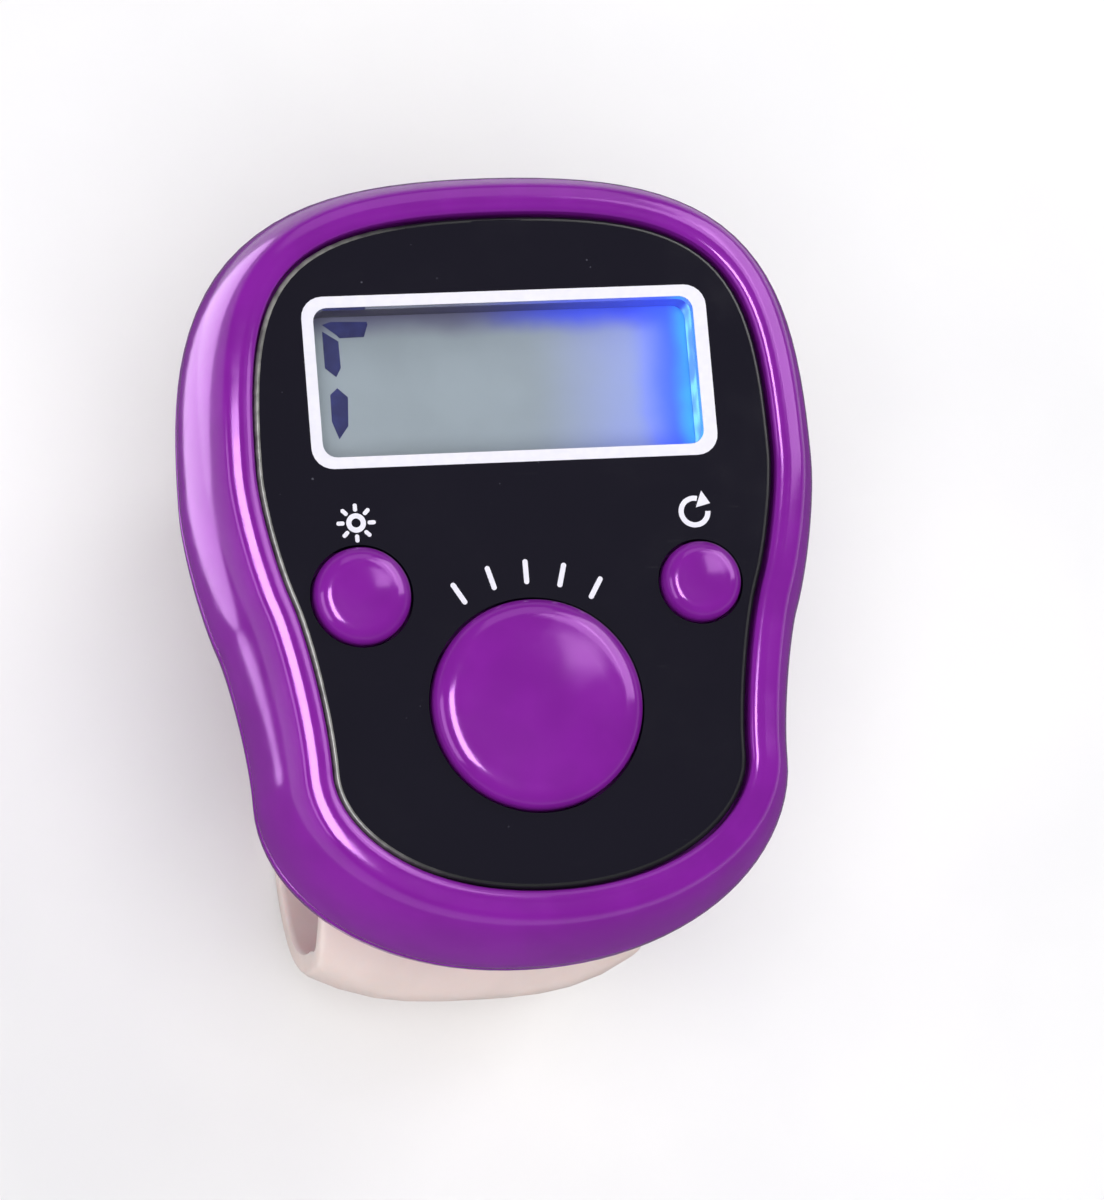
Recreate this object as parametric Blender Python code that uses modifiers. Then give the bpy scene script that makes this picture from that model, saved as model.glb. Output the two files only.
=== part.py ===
"""Digital finger counter: a tally counter worn on a finger by a soft strap.

The display faces +Z, its top edge lies towards +Y, and the strap's loop stands on z = 0.
All sizes are metres.
"""

import math

import bmesh
import bpy
from mathutils import Matrix, Vector

# Face outline: the printed panel's edge, of which the right half is drawn and then mirrored.
FACE_HALF_LENGTH = 0.017
FACE_HALF_WIDTH = 0.013
FACE_WIDEST_Y = 0.0045
WAIST_HALF_WIDTH = 0.01175
WAIST_Y = -0.0021
WAIST_LEAN = 0.37
CHIN_HALF_WIDTH = 0.01035
CHIN_Y = -0.0108
CROWN_PULL = 0.0114
SHOULDER_PULL = 0.0095
WAIST_PULL = 0.00175
CHIN_PULL = 0.0027
CHIN_BOTTOM_PULL = 0.0068

# Case
RIM_WIDTH = 0.003
RIM_RISE = 0.0006
RIM_CREST_OFFSET = 0.0012
RIM_FULLNESS = 1.64
INNER_LIP_WIDTH = 0.0003
INNER_LIP_DROP = 0.0002
WALL = 0.0015
WIDEST_DEPTH = 0.00525
BACK_FLAT_OFFSET = 0.0
BACK_PLATE = 0.0013
FLOOR_ROUND = 0.0013
DECK_THICKNESS = 0.001
LIP_HEIGHT = 0.0008
LIP_THICKNESS = 0.00075
LIP_TO_BOARD = 0.0007

# Printed face
PANEL_THICKNESS = 0.0008
PANEL_EDGE_ROUND = 0.0001
ADHESIVE_THICKNESS = 0.0002
ADHESIVE_MARGIN = 0.0003
WINDOW_WIDTH = 0.0193
WINDOW_HEIGHT = 0.0076
WINDOW_FROM_TOP = 0.0082
WINDOW_CORNER = 0.0007
LENS_SEAT = 0.0003

# Display
GLASS_SIDE_MARGIN = 0.00095
GLASS_END_MARGIN = 0.0011
GLASS_THICKNESS = 0.0016
GUIDE_THICKNESS = 0.0008
ZEBRA_WIDTH = 0.001
RIB_THICKNESS = 0.0008
LED_LENGTH = 0.0012
LED_WIDTH = 0.0016

# Buttons
COUNT_RADIUS = 0.00525
COUNT_FROM_BOTTOM = 0.00915
COUNT_HEIGHT = 0.0013
LIGHT_RADIUS = 0.00243
RESET_RADIUS = 0.002
LIGHT_X = 0.0083
RESET_X = 0.0088
SMALL_BUTTON_SHARE = 0.46
SMALL_HEIGHT = 0.001
CAP_WALL = 0.0009
FLANGE_WIDTH = 0.0007
FLANGE_THICKNESS = 0.0006
DOME_HEIGHT = 0.0015
COUNT_DOME_RADIUS = 0.003
SMALL_DOME_RADIUS = 0.0017

# Circuit board
BOARD_THICKNESS = 0.0008
BOARD_EDGE_GAP = 0.0006
CHIP_RADIUS = 0.003
CHIP_HEIGHT = 0.0011
CHIP_X = -0.006
RESISTOR_SIZE = (0.0016, 0.0008, 0.0005)
CAPACITOR_SIZE = (0.002, 0.00125, 0.0009)
CAPACITOR_X = 0.0035

# Battery
CELL_RADIUS = 0.0058
CELL_THICKNESS = 0.00305
CONTACT_THICKNESS = 0.0002
CONTACT_WIDTH = 0.003
CONTACT_REACH = 0.0027
BATTERY_Y = -0.0035
WELL_GAP = 0.00045
WELL_WALL = 0.0009
DOOR_THICKNESS = 0.0012
DOOR_OVERLAP = 0.0011
LEDGE_THICKNESS = 0.0006
LUG_REACH = 0.0008
LUG_WIDTH = 0.0024
BAYONET_TURN = math.radians(45)
COIN_SLOT_LENGTH = 0.009
COIN_SLOT_WIDTH = 0.0015
COIN_SLOT_DEPTH = 0.0006

# Screws
CASE_SCREW_RADIUS = 0.00085
CASE_SCREW_HEAD_RADIUS = 0.0016
CASE_SCREW_HEAD = 0.001
CASE_SCREW_LENGTH = 0.006
CASE_SCREW_SINK = 0.0003
BOSS_WALL = 0.0007
POST_WALL = 0.00065
POST_HEIGHT = 0.0032
UPPER_SCREW_X = 0.0052
BOARD_SCREW_RADIUS = 0.00045
BOARD_SCREW_HEAD_RADIUS = 0.00095
BOARD_SCREW_HEAD = 0.0005
BOARD_SCREW_LENGTH = 0.0023
RECESS_WIDTH = 0.0004

# Strap
STRAP_THICKNESS = 0.0012
STRAP_HALF_WIDTH = 0.0086
STRAP_CROWN = 0.0019
LOOP_HEIGHT = 0.0165
STRAP_HEAD_HALF_WIDTH = 0.0065
STRAP_HEAD_DEPTH = 0.0024
FRONT_BULGE = 0.0051
REAR_BULGE = 0.005
FLOOR_FROM_SLOT = 0.0061
FLOOR_FROM_PEG = 0.0041
STRAP_HOLE_PITCH = 0.0042
TAIL_LENGTH = 0.0024
PEG_RADIUS = 0.0011
PEG_HEAD_RADIUS = 0.0019
PEG_HEAD = 0.0007
PEG_FROM_BATTERY_RING = 0.0044

# Clearances
STACK_GAP = 0.0001
EDGE_GAP = 0.00015
SCREW_GAP = 0.0001
CUT_MARGIN = 0.001

# Smoothness
OUTLINE_STEPS = 6
RIM_STEPS = 5
BACK_ROUND_STEPS = 6
ROUND_STEPS = 32
SMALL_STEPS = 20
STRAP_STEPS = 9

# Levels, worked up from the loop's lowest face.
BACK_Z = STRAP_THICKNESS + LOOP_HEIGHT
DOOR_TOP_Z = BACK_Z + DOOR_THICKNESS
CELL_REAR_Z = DOOR_TOP_Z + STACK_GAP
CELL_FRONT_Z = CELL_REAR_Z + CELL_THICKNESS + STACK_GAP
CONTACT_Z = CELL_FRONT_Z + CELL_THICKNESS + STACK_GAP
BOARD_Z = CONTACT_Z + CONTACT_THICKNESS + STACK_GAP
BOARD_TOP_Z = BOARD_Z + BOARD_THICKNESS
GUIDE_Z = BOARD_TOP_Z + STACK_GAP
GLASS_Z = GUIDE_Z + GUIDE_THICKNESS + STACK_GAP
DECK_Z = GLASS_Z + GLASS_THICKNESS + STACK_GAP
RECESS_Z = DECK_Z + DECK_THICKNESS
ADHESIVE_Z = RECESS_Z + STACK_GAP
PANEL_Z = ADHESIVE_Z + ADHESIVE_THICKNESS + STACK_GAP
PANEL_TOP_Z = PANEL_Z + PANEL_THICKNESS
CREST_Z = PANEL_TOP_Z + RIM_RISE
WIDEST_Z = PANEL_TOP_Z - WIDEST_DEPTH
LIP_TOP_Z = BOARD_Z - LIP_TO_BOARD
PARTING_Z = LIP_TOP_Z - LIP_HEIGHT
POST_TOP_Z = BACK_Z + POST_HEIGHT
WELL_TOP_Z = CONTACT_Z - STACK_GAP
GROOVE_TOP_Z = DOOR_TOP_Z + STACK_GAP

# Places across the face: an offset is how far a line lies outside the panel's edge.
CAVITY_OFFSET = RIM_WIDTH - WALL
LIP_OFFSET = CAVITY_OFFSET - EDGE_GAP
BACK_CAVITY_OFFSET = LIP_OFFSET - LIP_THICKNESS
BOARD_OFFSET = CAVITY_OFFSET - BOARD_EDGE_GAP
WINDOW_Y = FACE_HALF_LENGTH - WINDOW_FROM_TOP
GLASS_HALF_WIDTH = WINDOW_WIDTH / 2 + GLASS_SIDE_MARGIN
GLASS_HALF_HEIGHT = WINDOW_HEIGHT / 2 + GLASS_END_MARGIN
RESISTOR_X = GLASS_HALF_WIDTH - LED_LENGTH - RESISTOR_SIZE[0] / 2
RIB_HALF_WIDTH = GLASS_HALF_WIDTH + EDGE_GAP
RIB_HALF_HEIGHT = GLASS_HALF_HEIGHT + EDGE_GAP
RIB_LOW_Y = WINDOW_Y - RIB_HALF_HEIGHT - RIB_THICKNESS
COUNT_Y = COUNT_FROM_BOTTOM - FACE_HALF_LENGTH
SMALL_BUTTON_Y = RIB_LOW_Y - (RIB_LOW_Y - COUNT_Y) * SMALL_BUTTON_SHARE

# Places of screws: each x, y pair is the axis of one screw.
BOSS_RADIUS = CASE_SCREW_RADIUS + SCREW_GAP + BOSS_WALL
POST_RADIUS = CASE_SCREW_HEAD_RADIUS + EDGE_GAP + POST_WALL
BOARD_BOSS_RADIUS = BOARD_SCREW_RADIUS + SCREW_GAP + BOSS_WALL
UPPER_SCREW_Y = WINDOW_Y + RIB_HALF_HEIGHT + STACK_GAP + BOSS_RADIUS
LOWER_SCREW_X = CHIN_HALF_WIDTH - 2 * POST_WALL
LOWER_SCREW_Y = CHIN_Y + CASE_SCREW_RADIUS
CASE_SCREWS = (
    (-UPPER_SCREW_X, UPPER_SCREW_Y),
    (UPPER_SCREW_X, UPPER_SCREW_Y),
    (-LOWER_SCREW_X, LOWER_SCREW_Y),
    (LOWER_SCREW_X, LOWER_SCREW_Y),
)
SIDE_BOARD_SCREW_X = FACE_HALF_WIDTH + CAVITY_OFFSET - BOARD_BOSS_RADIUS - 1.5 * EDGE_GAP
CHIN_BOARD_SCREW_Y = BOSS_WALL - FACE_HALF_LENGTH
BOARD_SCREWS = (
    (-SIDE_BOARD_SCREW_X, FACE_WIDEST_Y),
    (SIDE_BOARD_SCREW_X, FACE_WIDEST_Y),
    (0.0, CHIN_BOARD_SCREW_Y),
)

# Battery door and well
WELL_RADIUS = CELL_RADIUS + WELL_GAP
DOOR_RADIUS = CELL_RADIUS + DOOR_OVERLAP
GROOVE_RADIUS = DOOR_RADIUS + LUG_REACH + EDGE_GAP
RING_RADIUS = GROOVE_RADIUS + WELL_WALL
RING_TOP_Z = GROOVE_TOP_Z + WELL_WALL

# Strap route
SLOT_Y = BATTERY_Y - RING_RADIUS - EDGE_GAP - STRAP_HEAD_DEPTH / 2
PEG_Y = BATTERY_Y + RING_RADIUS + PEG_FROM_BATTERY_RING
SLOT_HALF_DEPTH = STRAP_THICKNESS / 2 + EDGE_GAP
TAIL_Z = BACK_Z - STACK_GAP - STRAP_THICKNESS / 2
STRAP_HOLE_RADIUS = PEG_RADIUS + EDGE_GAP
PEG_HEAD_TOP_Z = BACK_Z - STRAP_THICKNESS - 2 * STACK_GAP


def clear_scene():
    for old in list(bpy.data.objects):
        bpy.data.objects.remove(old, do_unlink=True)


def new_collection(name):
    made = bpy.data.collections.new(name)
    bpy.context.scene.collection.children.link(made)
    return made


def material(name, colour, roughness, metallic=0.0, alpha=1.0):
    made = bpy.data.materials.new(name)
    made.use_nodes = True
    shader = made.node_tree.nodes["Principled BSDF"]
    shader.inputs["Base Color"].default_value = (*colour, 1.0)
    shader.inputs["Roughness"].default_value = roughness
    shader.inputs["Metallic"].default_value = metallic
    shader.inputs["Alpha"].default_value = alpha
    made.diffuse_color = (*colour, alpha)
    return made


def bezier(points, steps):
    """Points of one cubic stretch, its last one left to the next stretch."""
    start, pull_out, pull_in, end = (Vector(point) for point in points)
    found = []
    for step in range(steps):
        t = step / steps
        s = 1 - t
        found.append(start * s**3 + pull_out * (3 * s * s * t) + pull_in * (3 * s * t * t) + end * t**3)
    return found


def face_half():
    """The right half of the face outline, from the top centre down to the bottom centre."""
    lean = Vector((-WAIST_LEAN, -1.0)).normalized()
    top = Vector((0.0, FACE_HALF_LENGTH))
    widest = Vector((FACE_HALF_WIDTH, FACE_WIDEST_Y))
    waist = Vector((WAIST_HALF_WIDTH, WAIST_Y))
    chin = Vector((CHIN_HALF_WIDTH, CHIN_Y))
    bottom = Vector((0.0, -FACE_HALF_LENGTH))
    down = Vector((0.0, -1.0))
    across = Vector((1.0, 0.0))
    stretches = (
        (top, top + across * CROWN_PULL, widest - down * SHOULDER_PULL, widest),
        (widest, widest + down * WAIST_PULL, waist - lean * WAIST_PULL, waist),
        (waist, waist + lean * WAIST_PULL, chin - down * CHIN_PULL, chin),
        (chin, chin + down * CHIN_PULL, bottom + across * CHIN_BOTTOM_PULL, bottom),
    )
    found = []
    for stretch in stretches:
        found += bezier(stretch, OUTLINE_STEPS)
    return found + [bottom]


def face_ring(offset, z):
    """The whole face outline moved outwards by offset, counter-clockwise from above."""
    half = face_half()
    right = []
    for index, point in enumerate(half):
        before = half[max(index - 1, 0)]
        after = half[min(index + 1, len(half) - 1)]
        along = (after - before).normalized()
        outward = Vector((-along.y, along.x))
        if index in (0, len(half) - 1):
            outward = Vector((0.0, 1.0 if index == 0 else -1.0))
        moved = point + outward * offset
        right.append(Vector((moved.x, moved.y, z)))
    left = [Vector((-point.x, point.y, z)) for point in right[1:-1]]
    return list(reversed(right)) + list(left)


def loft(rings):
    """A closed solid through rings of equal count, with flat ends."""
    bm = bmesh.new()
    rows = [[bm.verts.new(point) for point in ring] for ring in rings]
    for low, high in zip(rows, rows[1:]):
        for index in range(len(low)):
            after = (index + 1) % len(low)
            bm.faces.new((low[index], low[after], high[after], high[index]))
    bm.faces.new(list(reversed(rows[0])))
    bm.faces.new(rows[-1])
    bmesh.ops.recalc_face_normals(bm, faces=bm.faces)
    return bm


def add_cylinder(bm, centre, radius, low, high, steps=ROUND_STEPS):
    made = bmesh.ops.create_cone(
        bm, cap_ends=True, segments=steps, radius1=radius, radius2=radius, depth=high - low
    )
    bmesh.ops.translate(bm, verts=made["verts"], vec=(centre[0], centre[1], (low + high) / 2))


def add_box(bm, low, high, corner=0.0):
    """A box between two corners, its upright edges rounded by corner."""
    made = bmesh.ops.create_cube(bm, size=1.0)
    size = Vector(high) - Vector(low)
    bmesh.ops.scale(bm, verts=made["verts"], vec=size)
    bmesh.ops.translate(bm, verts=made["verts"], vec=(Vector(low) + Vector(high)) / 2)
    if corner:
        edges = {edge for vert in made["verts"] for edge in vert.link_edges}
        upright = [edge for edge in edges if abs(edge.verts[0].co.z - edge.verts[1].co.z) > size.z / 2]
        bmesh.ops.bevel(
            bm, geom=upright, offset=corner, segments=4, profile=0.5, affect="EDGES", material=-1
        )


def cylinder(centre, radius, low, high, steps=ROUND_STEPS):
    bm = bmesh.new()
    add_cylinder(bm, centre, radius, low, high, steps)
    return bm


def box(low, high, corner=0.0):
    bm = bmesh.new()
    add_box(bm, low, high, corner)
    return bm


def shade(mesh):
    mesh.shade_smooth()
    mesh.set_sharp_from_angle(angle=math.radians(35))


def place(name, bm, collection, origin):
    """An object whose own origin is at origin, with its mesh where bm has it."""
    bmesh.ops.translate(bm, verts=bm.verts, vec=-Vector(origin))
    mesh = bpy.data.meshes.new(name)
    bm.to_mesh(mesh)
    bm.free()
    made = bpy.data.objects.new(name, mesh)
    made.location = origin
    collection.objects.link(made)
    return made


def piece(name, bm, finish, origin=(0.0, 0.0, 0.0)):
    made = place(name, bm, PARTS, origin)
    shade(made.data)
    made.data.materials.append(finish)
    return made


def tool(name, bm):
    made = place(name, bm, CUTTERS, (0.0, 0.0, 0.0))
    made.hide_render = True
    made.display_type = "WIRE"
    return made


def combine(target, bm, operation):
    """Adds or removes the shape in bm, kept as an object of its own."""
    modifier = target.modifiers.new(f"{operation.lower()}_{len(target.modifiers) + 1}", "BOOLEAN")
    modifier.operation = operation
    modifier.object = tool(f"{target.name}_{modifier.name}", bm)


def cut(target, bm):
    combine(target, bm, "DIFFERENCE")


def join(target, bm):
    combine(target, bm, "UNION")


def turned(name, profile, finish, axis, steps=ROUND_STEPS):
    """A turned piece: profile is (radius, z) pairs down its outer side, from axis to axis."""
    bm = bmesh.new()
    verts = [bm.verts.new((radius, 0.0, z)) for radius, z in profile]
    for upper, lower in zip(verts, verts[1:]):
        bm.edges.new((upper, lower))
    mesh = bpy.data.meshes.new(name)
    bm.to_mesh(mesh)
    bm.free()
    mesh.materials.append(finish)
    made = bpy.data.objects.new(name, mesh)
    made.location = (axis[0], axis[1], 0.0)
    PARTS.objects.link(made)
    screw = made.modifiers.new("turn", "SCREW")
    screw.axis = "Z"
    screw.steps = steps
    screw.render_steps = steps
    screw.use_merge_vertices = True
    screw.merge_threshold = 1e-6
    screw.use_smooth_shade = True
    return made


def side_offset(z):
    """How far the case's side stands out at a height below its widest line: a quarter ellipse."""
    depth = (WIDEST_Z - z) / (WIDEST_Z - BACK_Z)
    return BACK_FLAT_OFFSET + (RIM_WIDTH - BACK_FLAT_OFFSET) * math.sqrt(max(1 - depth * depth, 0.0))


def make_front_case():
    between = (PARTING_Z + WIDEST_Z) / 2
    outer = [(side_offset(PARTING_Z), PARTING_Z), (side_offset(between), between)]
    for step in range(RIM_STEPS + 1):
        turn = step / RIM_STEPS * math.pi / 2
        spread = max(math.cos(turn), 0.0) ** (2 / RIM_FULLNESS)
        rise = math.sin(turn) ** (2 / RIM_FULLNESS)
        offset = RIM_CREST_OFFSET + (RIM_WIDTH - RIM_CREST_OFFSET) * spread
        outer.append((offset, WIDEST_Z + (CREST_Z - WIDEST_Z) * rise))
    outer += [
        (EDGE_GAP + INNER_LIP_WIDTH, CREST_Z - INNER_LIP_DROP),
        (EDGE_GAP, CREST_Z - INNER_LIP_DROP - INNER_LIP_WIDTH),
        (EDGE_GAP, RECESS_Z),
    ]
    case = piece("front_case", loft([face_ring(*ring) for ring in outer]), PURPLE)
    cut(case, loft([face_ring(CAVITY_OFFSET, z) for z in (PARTING_Z - CUT_MARGIN, DECK_Z)]))

    bosses = bmesh.new()
    for screw in CASE_SCREWS:
        add_cylinder(bosses, screw, BOSS_RADIUS, POST_TOP_Z + STACK_GAP, DECK_Z + DECK_THICKNESS / 2, SMALL_STEPS)
    for screw in BOARD_SCREWS:
        add_cylinder(bosses, screw, BOARD_BOSS_RADIUS, GUIDE_Z, DECK_Z + DECK_THICKNESS / 2, SMALL_STEPS)
    join(case, bosses)

    ribs = box(
        (-RIB_HALF_WIDTH - RIB_THICKNESS, WINDOW_Y - RIB_HALF_HEIGHT - RIB_THICKNESS, GUIDE_Z),
        (RIB_HALF_WIDTH + RIB_THICKNESS, WINDOW_Y + RIB_HALF_HEIGHT + RIB_THICKNESS, DECK_Z + DECK_THICKNESS / 2),
    )
    join(case, ribs)
    pocket = box(
        (-RIB_HALF_WIDTH, WINDOW_Y - RIB_HALF_HEIGHT, GUIDE_Z - CUT_MARGIN),
        (RIB_HALF_WIDTH, WINDOW_Y + RIB_HALF_HEIGHT, DECK_Z),
    )
    cut(case, pocket)

    openings = window_shape(-LENS_SEAT, DECK_Z - CUT_MARGIN, RECESS_Z + CUT_MARGIN)
    for centre, radius in button_holes():
        add_cylinder(openings, centre, radius, DECK_Z - CUT_MARGIN, RECESS_Z + CUT_MARGIN)
    cut(case, openings)

    pilots = bmesh.new()
    for screw in CASE_SCREWS:
        top = screw_shoulder() + CASE_SCREW_LENGTH + STACK_GAP
        add_cylinder(pilots, screw, CASE_SCREW_RADIUS + SCREW_GAP, POST_TOP_Z - CUT_MARGIN, top, SMALL_STEPS)
    for screw in BOARD_SCREWS:
        top = BOARD_Z - STACK_GAP + BOARD_SCREW_LENGTH + STACK_GAP
        add_cylinder(pilots, screw, BOARD_SCREW_RADIUS + SCREW_GAP, BOARD_TOP_Z - CUT_MARGIN, top, SMALL_STEPS)
    cut(case, pilots)


def window_shape(grow, low, high):
    """The window's outline grown by grow, between two heights."""
    half_width = WINDOW_WIDTH / 2 + grow
    half_height = WINDOW_HEIGHT / 2 + grow
    return box(
        (-half_width, WINDOW_Y - half_height, low),
        (half_width, WINDOW_Y + half_height, high),
        WINDOW_CORNER,
    )


def button_holes():
    """Centre and radius of each hole that a button's cap passes through."""
    return (
        ((0.0, COUNT_Y), COUNT_RADIUS + EDGE_GAP),
        ((-LIGHT_X, SMALL_BUTTON_Y), LIGHT_RADIUS + EDGE_GAP),
        ((RESET_X, SMALL_BUTTON_Y), RESET_RADIUS + EDGE_GAP),
    )


def make_face():
    edge = PANEL_EDGE_ROUND
    panel = piece(
        "face_panel",
        loft([face_ring(0.0, PANEL_Z), face_ring(0.0, PANEL_TOP_Z - edge), face_ring(-edge, PANEL_TOP_Z)]),
        BLACK_GLOSS,
    )
    openings = window_shape(0.0, PANEL_Z - CUT_MARGIN, PANEL_TOP_Z + CUT_MARGIN)
    for centre, radius in button_holes():
        add_cylinder(openings, centre, radius, PANEL_Z - CUT_MARGIN, PANEL_TOP_Z + CUT_MARGIN)
    cut(panel, openings)

    top = ADHESIVE_Z + ADHESIVE_THICKNESS
    sheet = piece(
        "panel_adhesive",
        loft([face_ring(-ADHESIVE_MARGIN, ADHESIVE_Z), face_ring(-ADHESIVE_MARGIN, top)]),
        ADHESIVE,
    )
    openings = window_shape(-LENS_SEAT, ADHESIVE_Z - CUT_MARGIN, top + CUT_MARGIN)
    for centre, radius in button_holes():
        add_cylinder(openings, centre, radius + ADHESIVE_MARGIN, ADHESIVE_Z - CUT_MARGIN, top + CUT_MARGIN)
    cut(sheet, openings)

    piece("window_lens", window_shape(-STACK_GAP, PANEL_Z, PANEL_TOP_Z), CLEAR)


def make_button(name, centre, radius, height, dome_radius, steps):
    """A cap with a retaining flange under the deck and a plunger over its rubber dome."""
    top = PANEL_TOP_Z + height
    flange_top = DECK_Z - STACK_GAP
    flange_low = flange_top - FLANGE_THICKNESS
    inner = radius - CAP_WALL
    ceiling = top - CAP_WALL
    plunger = dome_radius / 2
    plunger_low = GUIDE_Z + DOME_HEIGHT + STACK_GAP
    edge = radius * 0.12
    profile = (
        (0.0, top),
        (radius * 0.5, top - edge * 0.1),
        (radius - edge * 1.5, top - edge * 0.35),
        (radius - edge * 0.5, top - edge * 0.8),
        (radius, top - edge * 1.8),
        (radius, flange_top),
        (radius + FLANGE_WIDTH, flange_top),
        (radius + FLANGE_WIDTH, flange_low),
        (inner, flange_low),
        (inner, ceiling - edge),
        (plunger, ceiling - edge),
        (plunger, plunger_low),
        (0.0, plunger_low),
    )
    turned(name + "_button", profile, PURPLE, centre, steps)

    wall = dome_radius * 0.2
    dome_top = GUIDE_Z + DOME_HEIGHT
    foot = GUIDE_Z + DOME_HEIGHT * 0.25
    crown = dome_radius * 0.6
    profile = (
        (0.0, dome_top),
        (crown, dome_top),
        (dome_radius - wall, foot),
        (dome_radius, foot),
        (dome_radius, GUIDE_Z),
        (dome_radius - 2 * wall, GUIDE_Z),
        (crown - wall, dome_top - DOME_HEIGHT * 0.35),
        (0.0, dome_top - DOME_HEIGHT * 0.35),
    )
    turned(name + "_dome", profile, RUBBER, centre, SMALL_STEPS)


def make_buttons():
    make_button("count", (0.0, COUNT_Y), COUNT_RADIUS, COUNT_HEIGHT, COUNT_DOME_RADIUS, ROUND_STEPS)
    left = (-LIGHT_X, SMALL_BUTTON_Y)
    right = (RESET_X, SMALL_BUTTON_Y)
    make_button("light", left, LIGHT_RADIUS, SMALL_HEIGHT, SMALL_DOME_RADIUS, SMALL_STEPS)
    make_button("reset", right, RESET_RADIUS, SMALL_HEIGHT, SMALL_DOME_RADIUS, SMALL_STEPS)


def make_display():
    glass_low = (-GLASS_HALF_WIDTH, WINDOW_Y - GLASS_HALF_HEIGHT, GLASS_Z)
    glass_high = (GLASS_HALF_WIDTH, WINDOW_Y + GLASS_HALF_HEIGHT, GLASS_Z + GLASS_THICKNESS)
    piece("lcd_glass", box(glass_low, glass_high), LCD)

    strip_low = WINDOW_Y - GLASS_HALF_HEIGHT
    strip_top = GUIDE_Z + GUIDE_THICKNESS
    for name, y in (("lower", strip_low), ("upper", WINDOW_Y + GLASS_HALF_HEIGHT - ZEBRA_WIDTH)):
        low = (-GLASS_HALF_WIDTH, y, GUIDE_Z)
        high = (GLASS_HALF_WIDTH, y + ZEBRA_WIDTH, strip_top)
        piece(f"contact_strip_{name}", box(low, high), RUBBER)

    guide_half_height = GLASS_HALF_HEIGHT - ZEBRA_WIDTH - EDGE_GAP
    guide_end = GLASS_HALF_WIDTH - LED_LENGTH - STACK_GAP
    low = (-GLASS_HALF_WIDTH, WINDOW_Y - guide_half_height, GUIDE_Z)
    high = (guide_end, WINDOW_Y + guide_half_height, strip_top)
    piece("light_guide", box(low, high), MILKY)

    low = (guide_end + STACK_GAP, WINDOW_Y - LED_WIDTH / 2, GUIDE_Z)
    high = (guide_end + STACK_GAP + LED_LENGTH, WINDOW_Y + LED_WIDTH / 2, strip_top)
    piece("backlight_led", box(low, high), MILKY)


def make_board():
    board = piece(
        "circuit_board",
        loft([face_ring(BOARD_OFFSET, BOARD_Z), face_ring(BOARD_OFFSET, BOARD_TOP_Z)]),
        BOARD,
    )
    holes = bmesh.new()
    for screw in CASE_SCREWS:
        add_cylinder(holes, screw, BOSS_RADIUS + EDGE_GAP, BOARD_Z - CUT_MARGIN, BOARD_TOP_Z + CUT_MARGIN, SMALL_STEPS)
    for screw in BOARD_SCREWS:
        radius = BOARD_SCREW_RADIUS + SCREW_GAP
        add_cylinder(holes, screw, radius, BOARD_Z - CUT_MARGIN, BOARD_TOP_Z + CUT_MARGIN, SMALL_STEPS)
    cut(board, holes)

    under = BOARD_Z - STACK_GAP
    profile = (
        (0.0, under),
        (CHIP_RADIUS, under),
        (CHIP_RADIUS * 0.85, under - CHIP_HEIGHT * 0.6),
        (CHIP_RADIUS * 0.5, under - CHIP_HEIGHT * 0.93),
        (0.0, under - CHIP_HEIGHT),
    )
    turned("chip_blob", profile, RESIN, (CHIP_X, WINDOW_Y), SMALL_STEPS)
    for name, x, size, finish in (
        ("led_resistor", RESISTOR_X, RESISTOR_SIZE, RESIN),
        ("filter_capacitor", CAPACITOR_X, CAPACITOR_SIZE, CERAMIC),
    ):
        low = (x - size[0] / 2, WINDOW_Y - size[1] / 2, under - size[2])
        high = (x + size[0] / 2, WINDOW_Y + size[1] / 2, under)
        piece(name, box(low, high), finish)


def make_battery():
    edge = CELL_THICKNESS * 0.08
    step = CELL_RADIUS * 0.12
    for name, z in (("button_cell_rear", CELL_REAR_Z), ("button_cell_front", CELL_FRONT_Z)):
        top = z + CELL_THICKNESS
        profile = (
            (0.0, top),
            (CELL_RADIUS - step - edge, top),
            (CELL_RADIUS - step, top - edge),
            (CELL_RADIUS - step, top - 2 * edge),
            (CELL_RADIUS - edge, top - 2 * edge),
            (CELL_RADIUS, top - 3 * edge),
            (CELL_RADIUS, z + edge),
            (CELL_RADIUS - edge, z),
            (0.0, z),
        )
        turned(name, profile, STEEL, (0.0, BATTERY_Y))

    low = (-CONTACT_WIDTH / 2, BATTERY_Y - CELL_RADIUS, CONTACT_Z)
    high = (CONTACT_WIDTH / 2, BATTERY_Y + CELL_RADIUS, CONTACT_Z + CONTACT_THICKNESS)
    piece("contact_negative", box(low, high, CONTACT_WIDTH / 4), SPRING)

    x = CELL_RADIUS + STACK_GAP
    low = (x, BATTERY_Y - CONTACT_WIDTH / 2, GROOVE_TOP_Z + STACK_GAP)
    high = (x + CONTACT_THICKNESS, BATTERY_Y + CONTACT_WIDTH / 2, CONTACT_Z + CONTACT_THICKNESS)
    strip = piece("contact_positive", box(low, high), SPRING)
    low = (x + CONTACT_THICKNESS / 2, BATTERY_Y - CONTACT_WIDTH / 2, CONTACT_Z)
    high = (x + CONTACT_REACH, BATTERY_Y + CONTACT_WIDTH / 2, CONTACT_Z + CONTACT_THICKNESS)
    join(strip, box(low, high))


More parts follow.
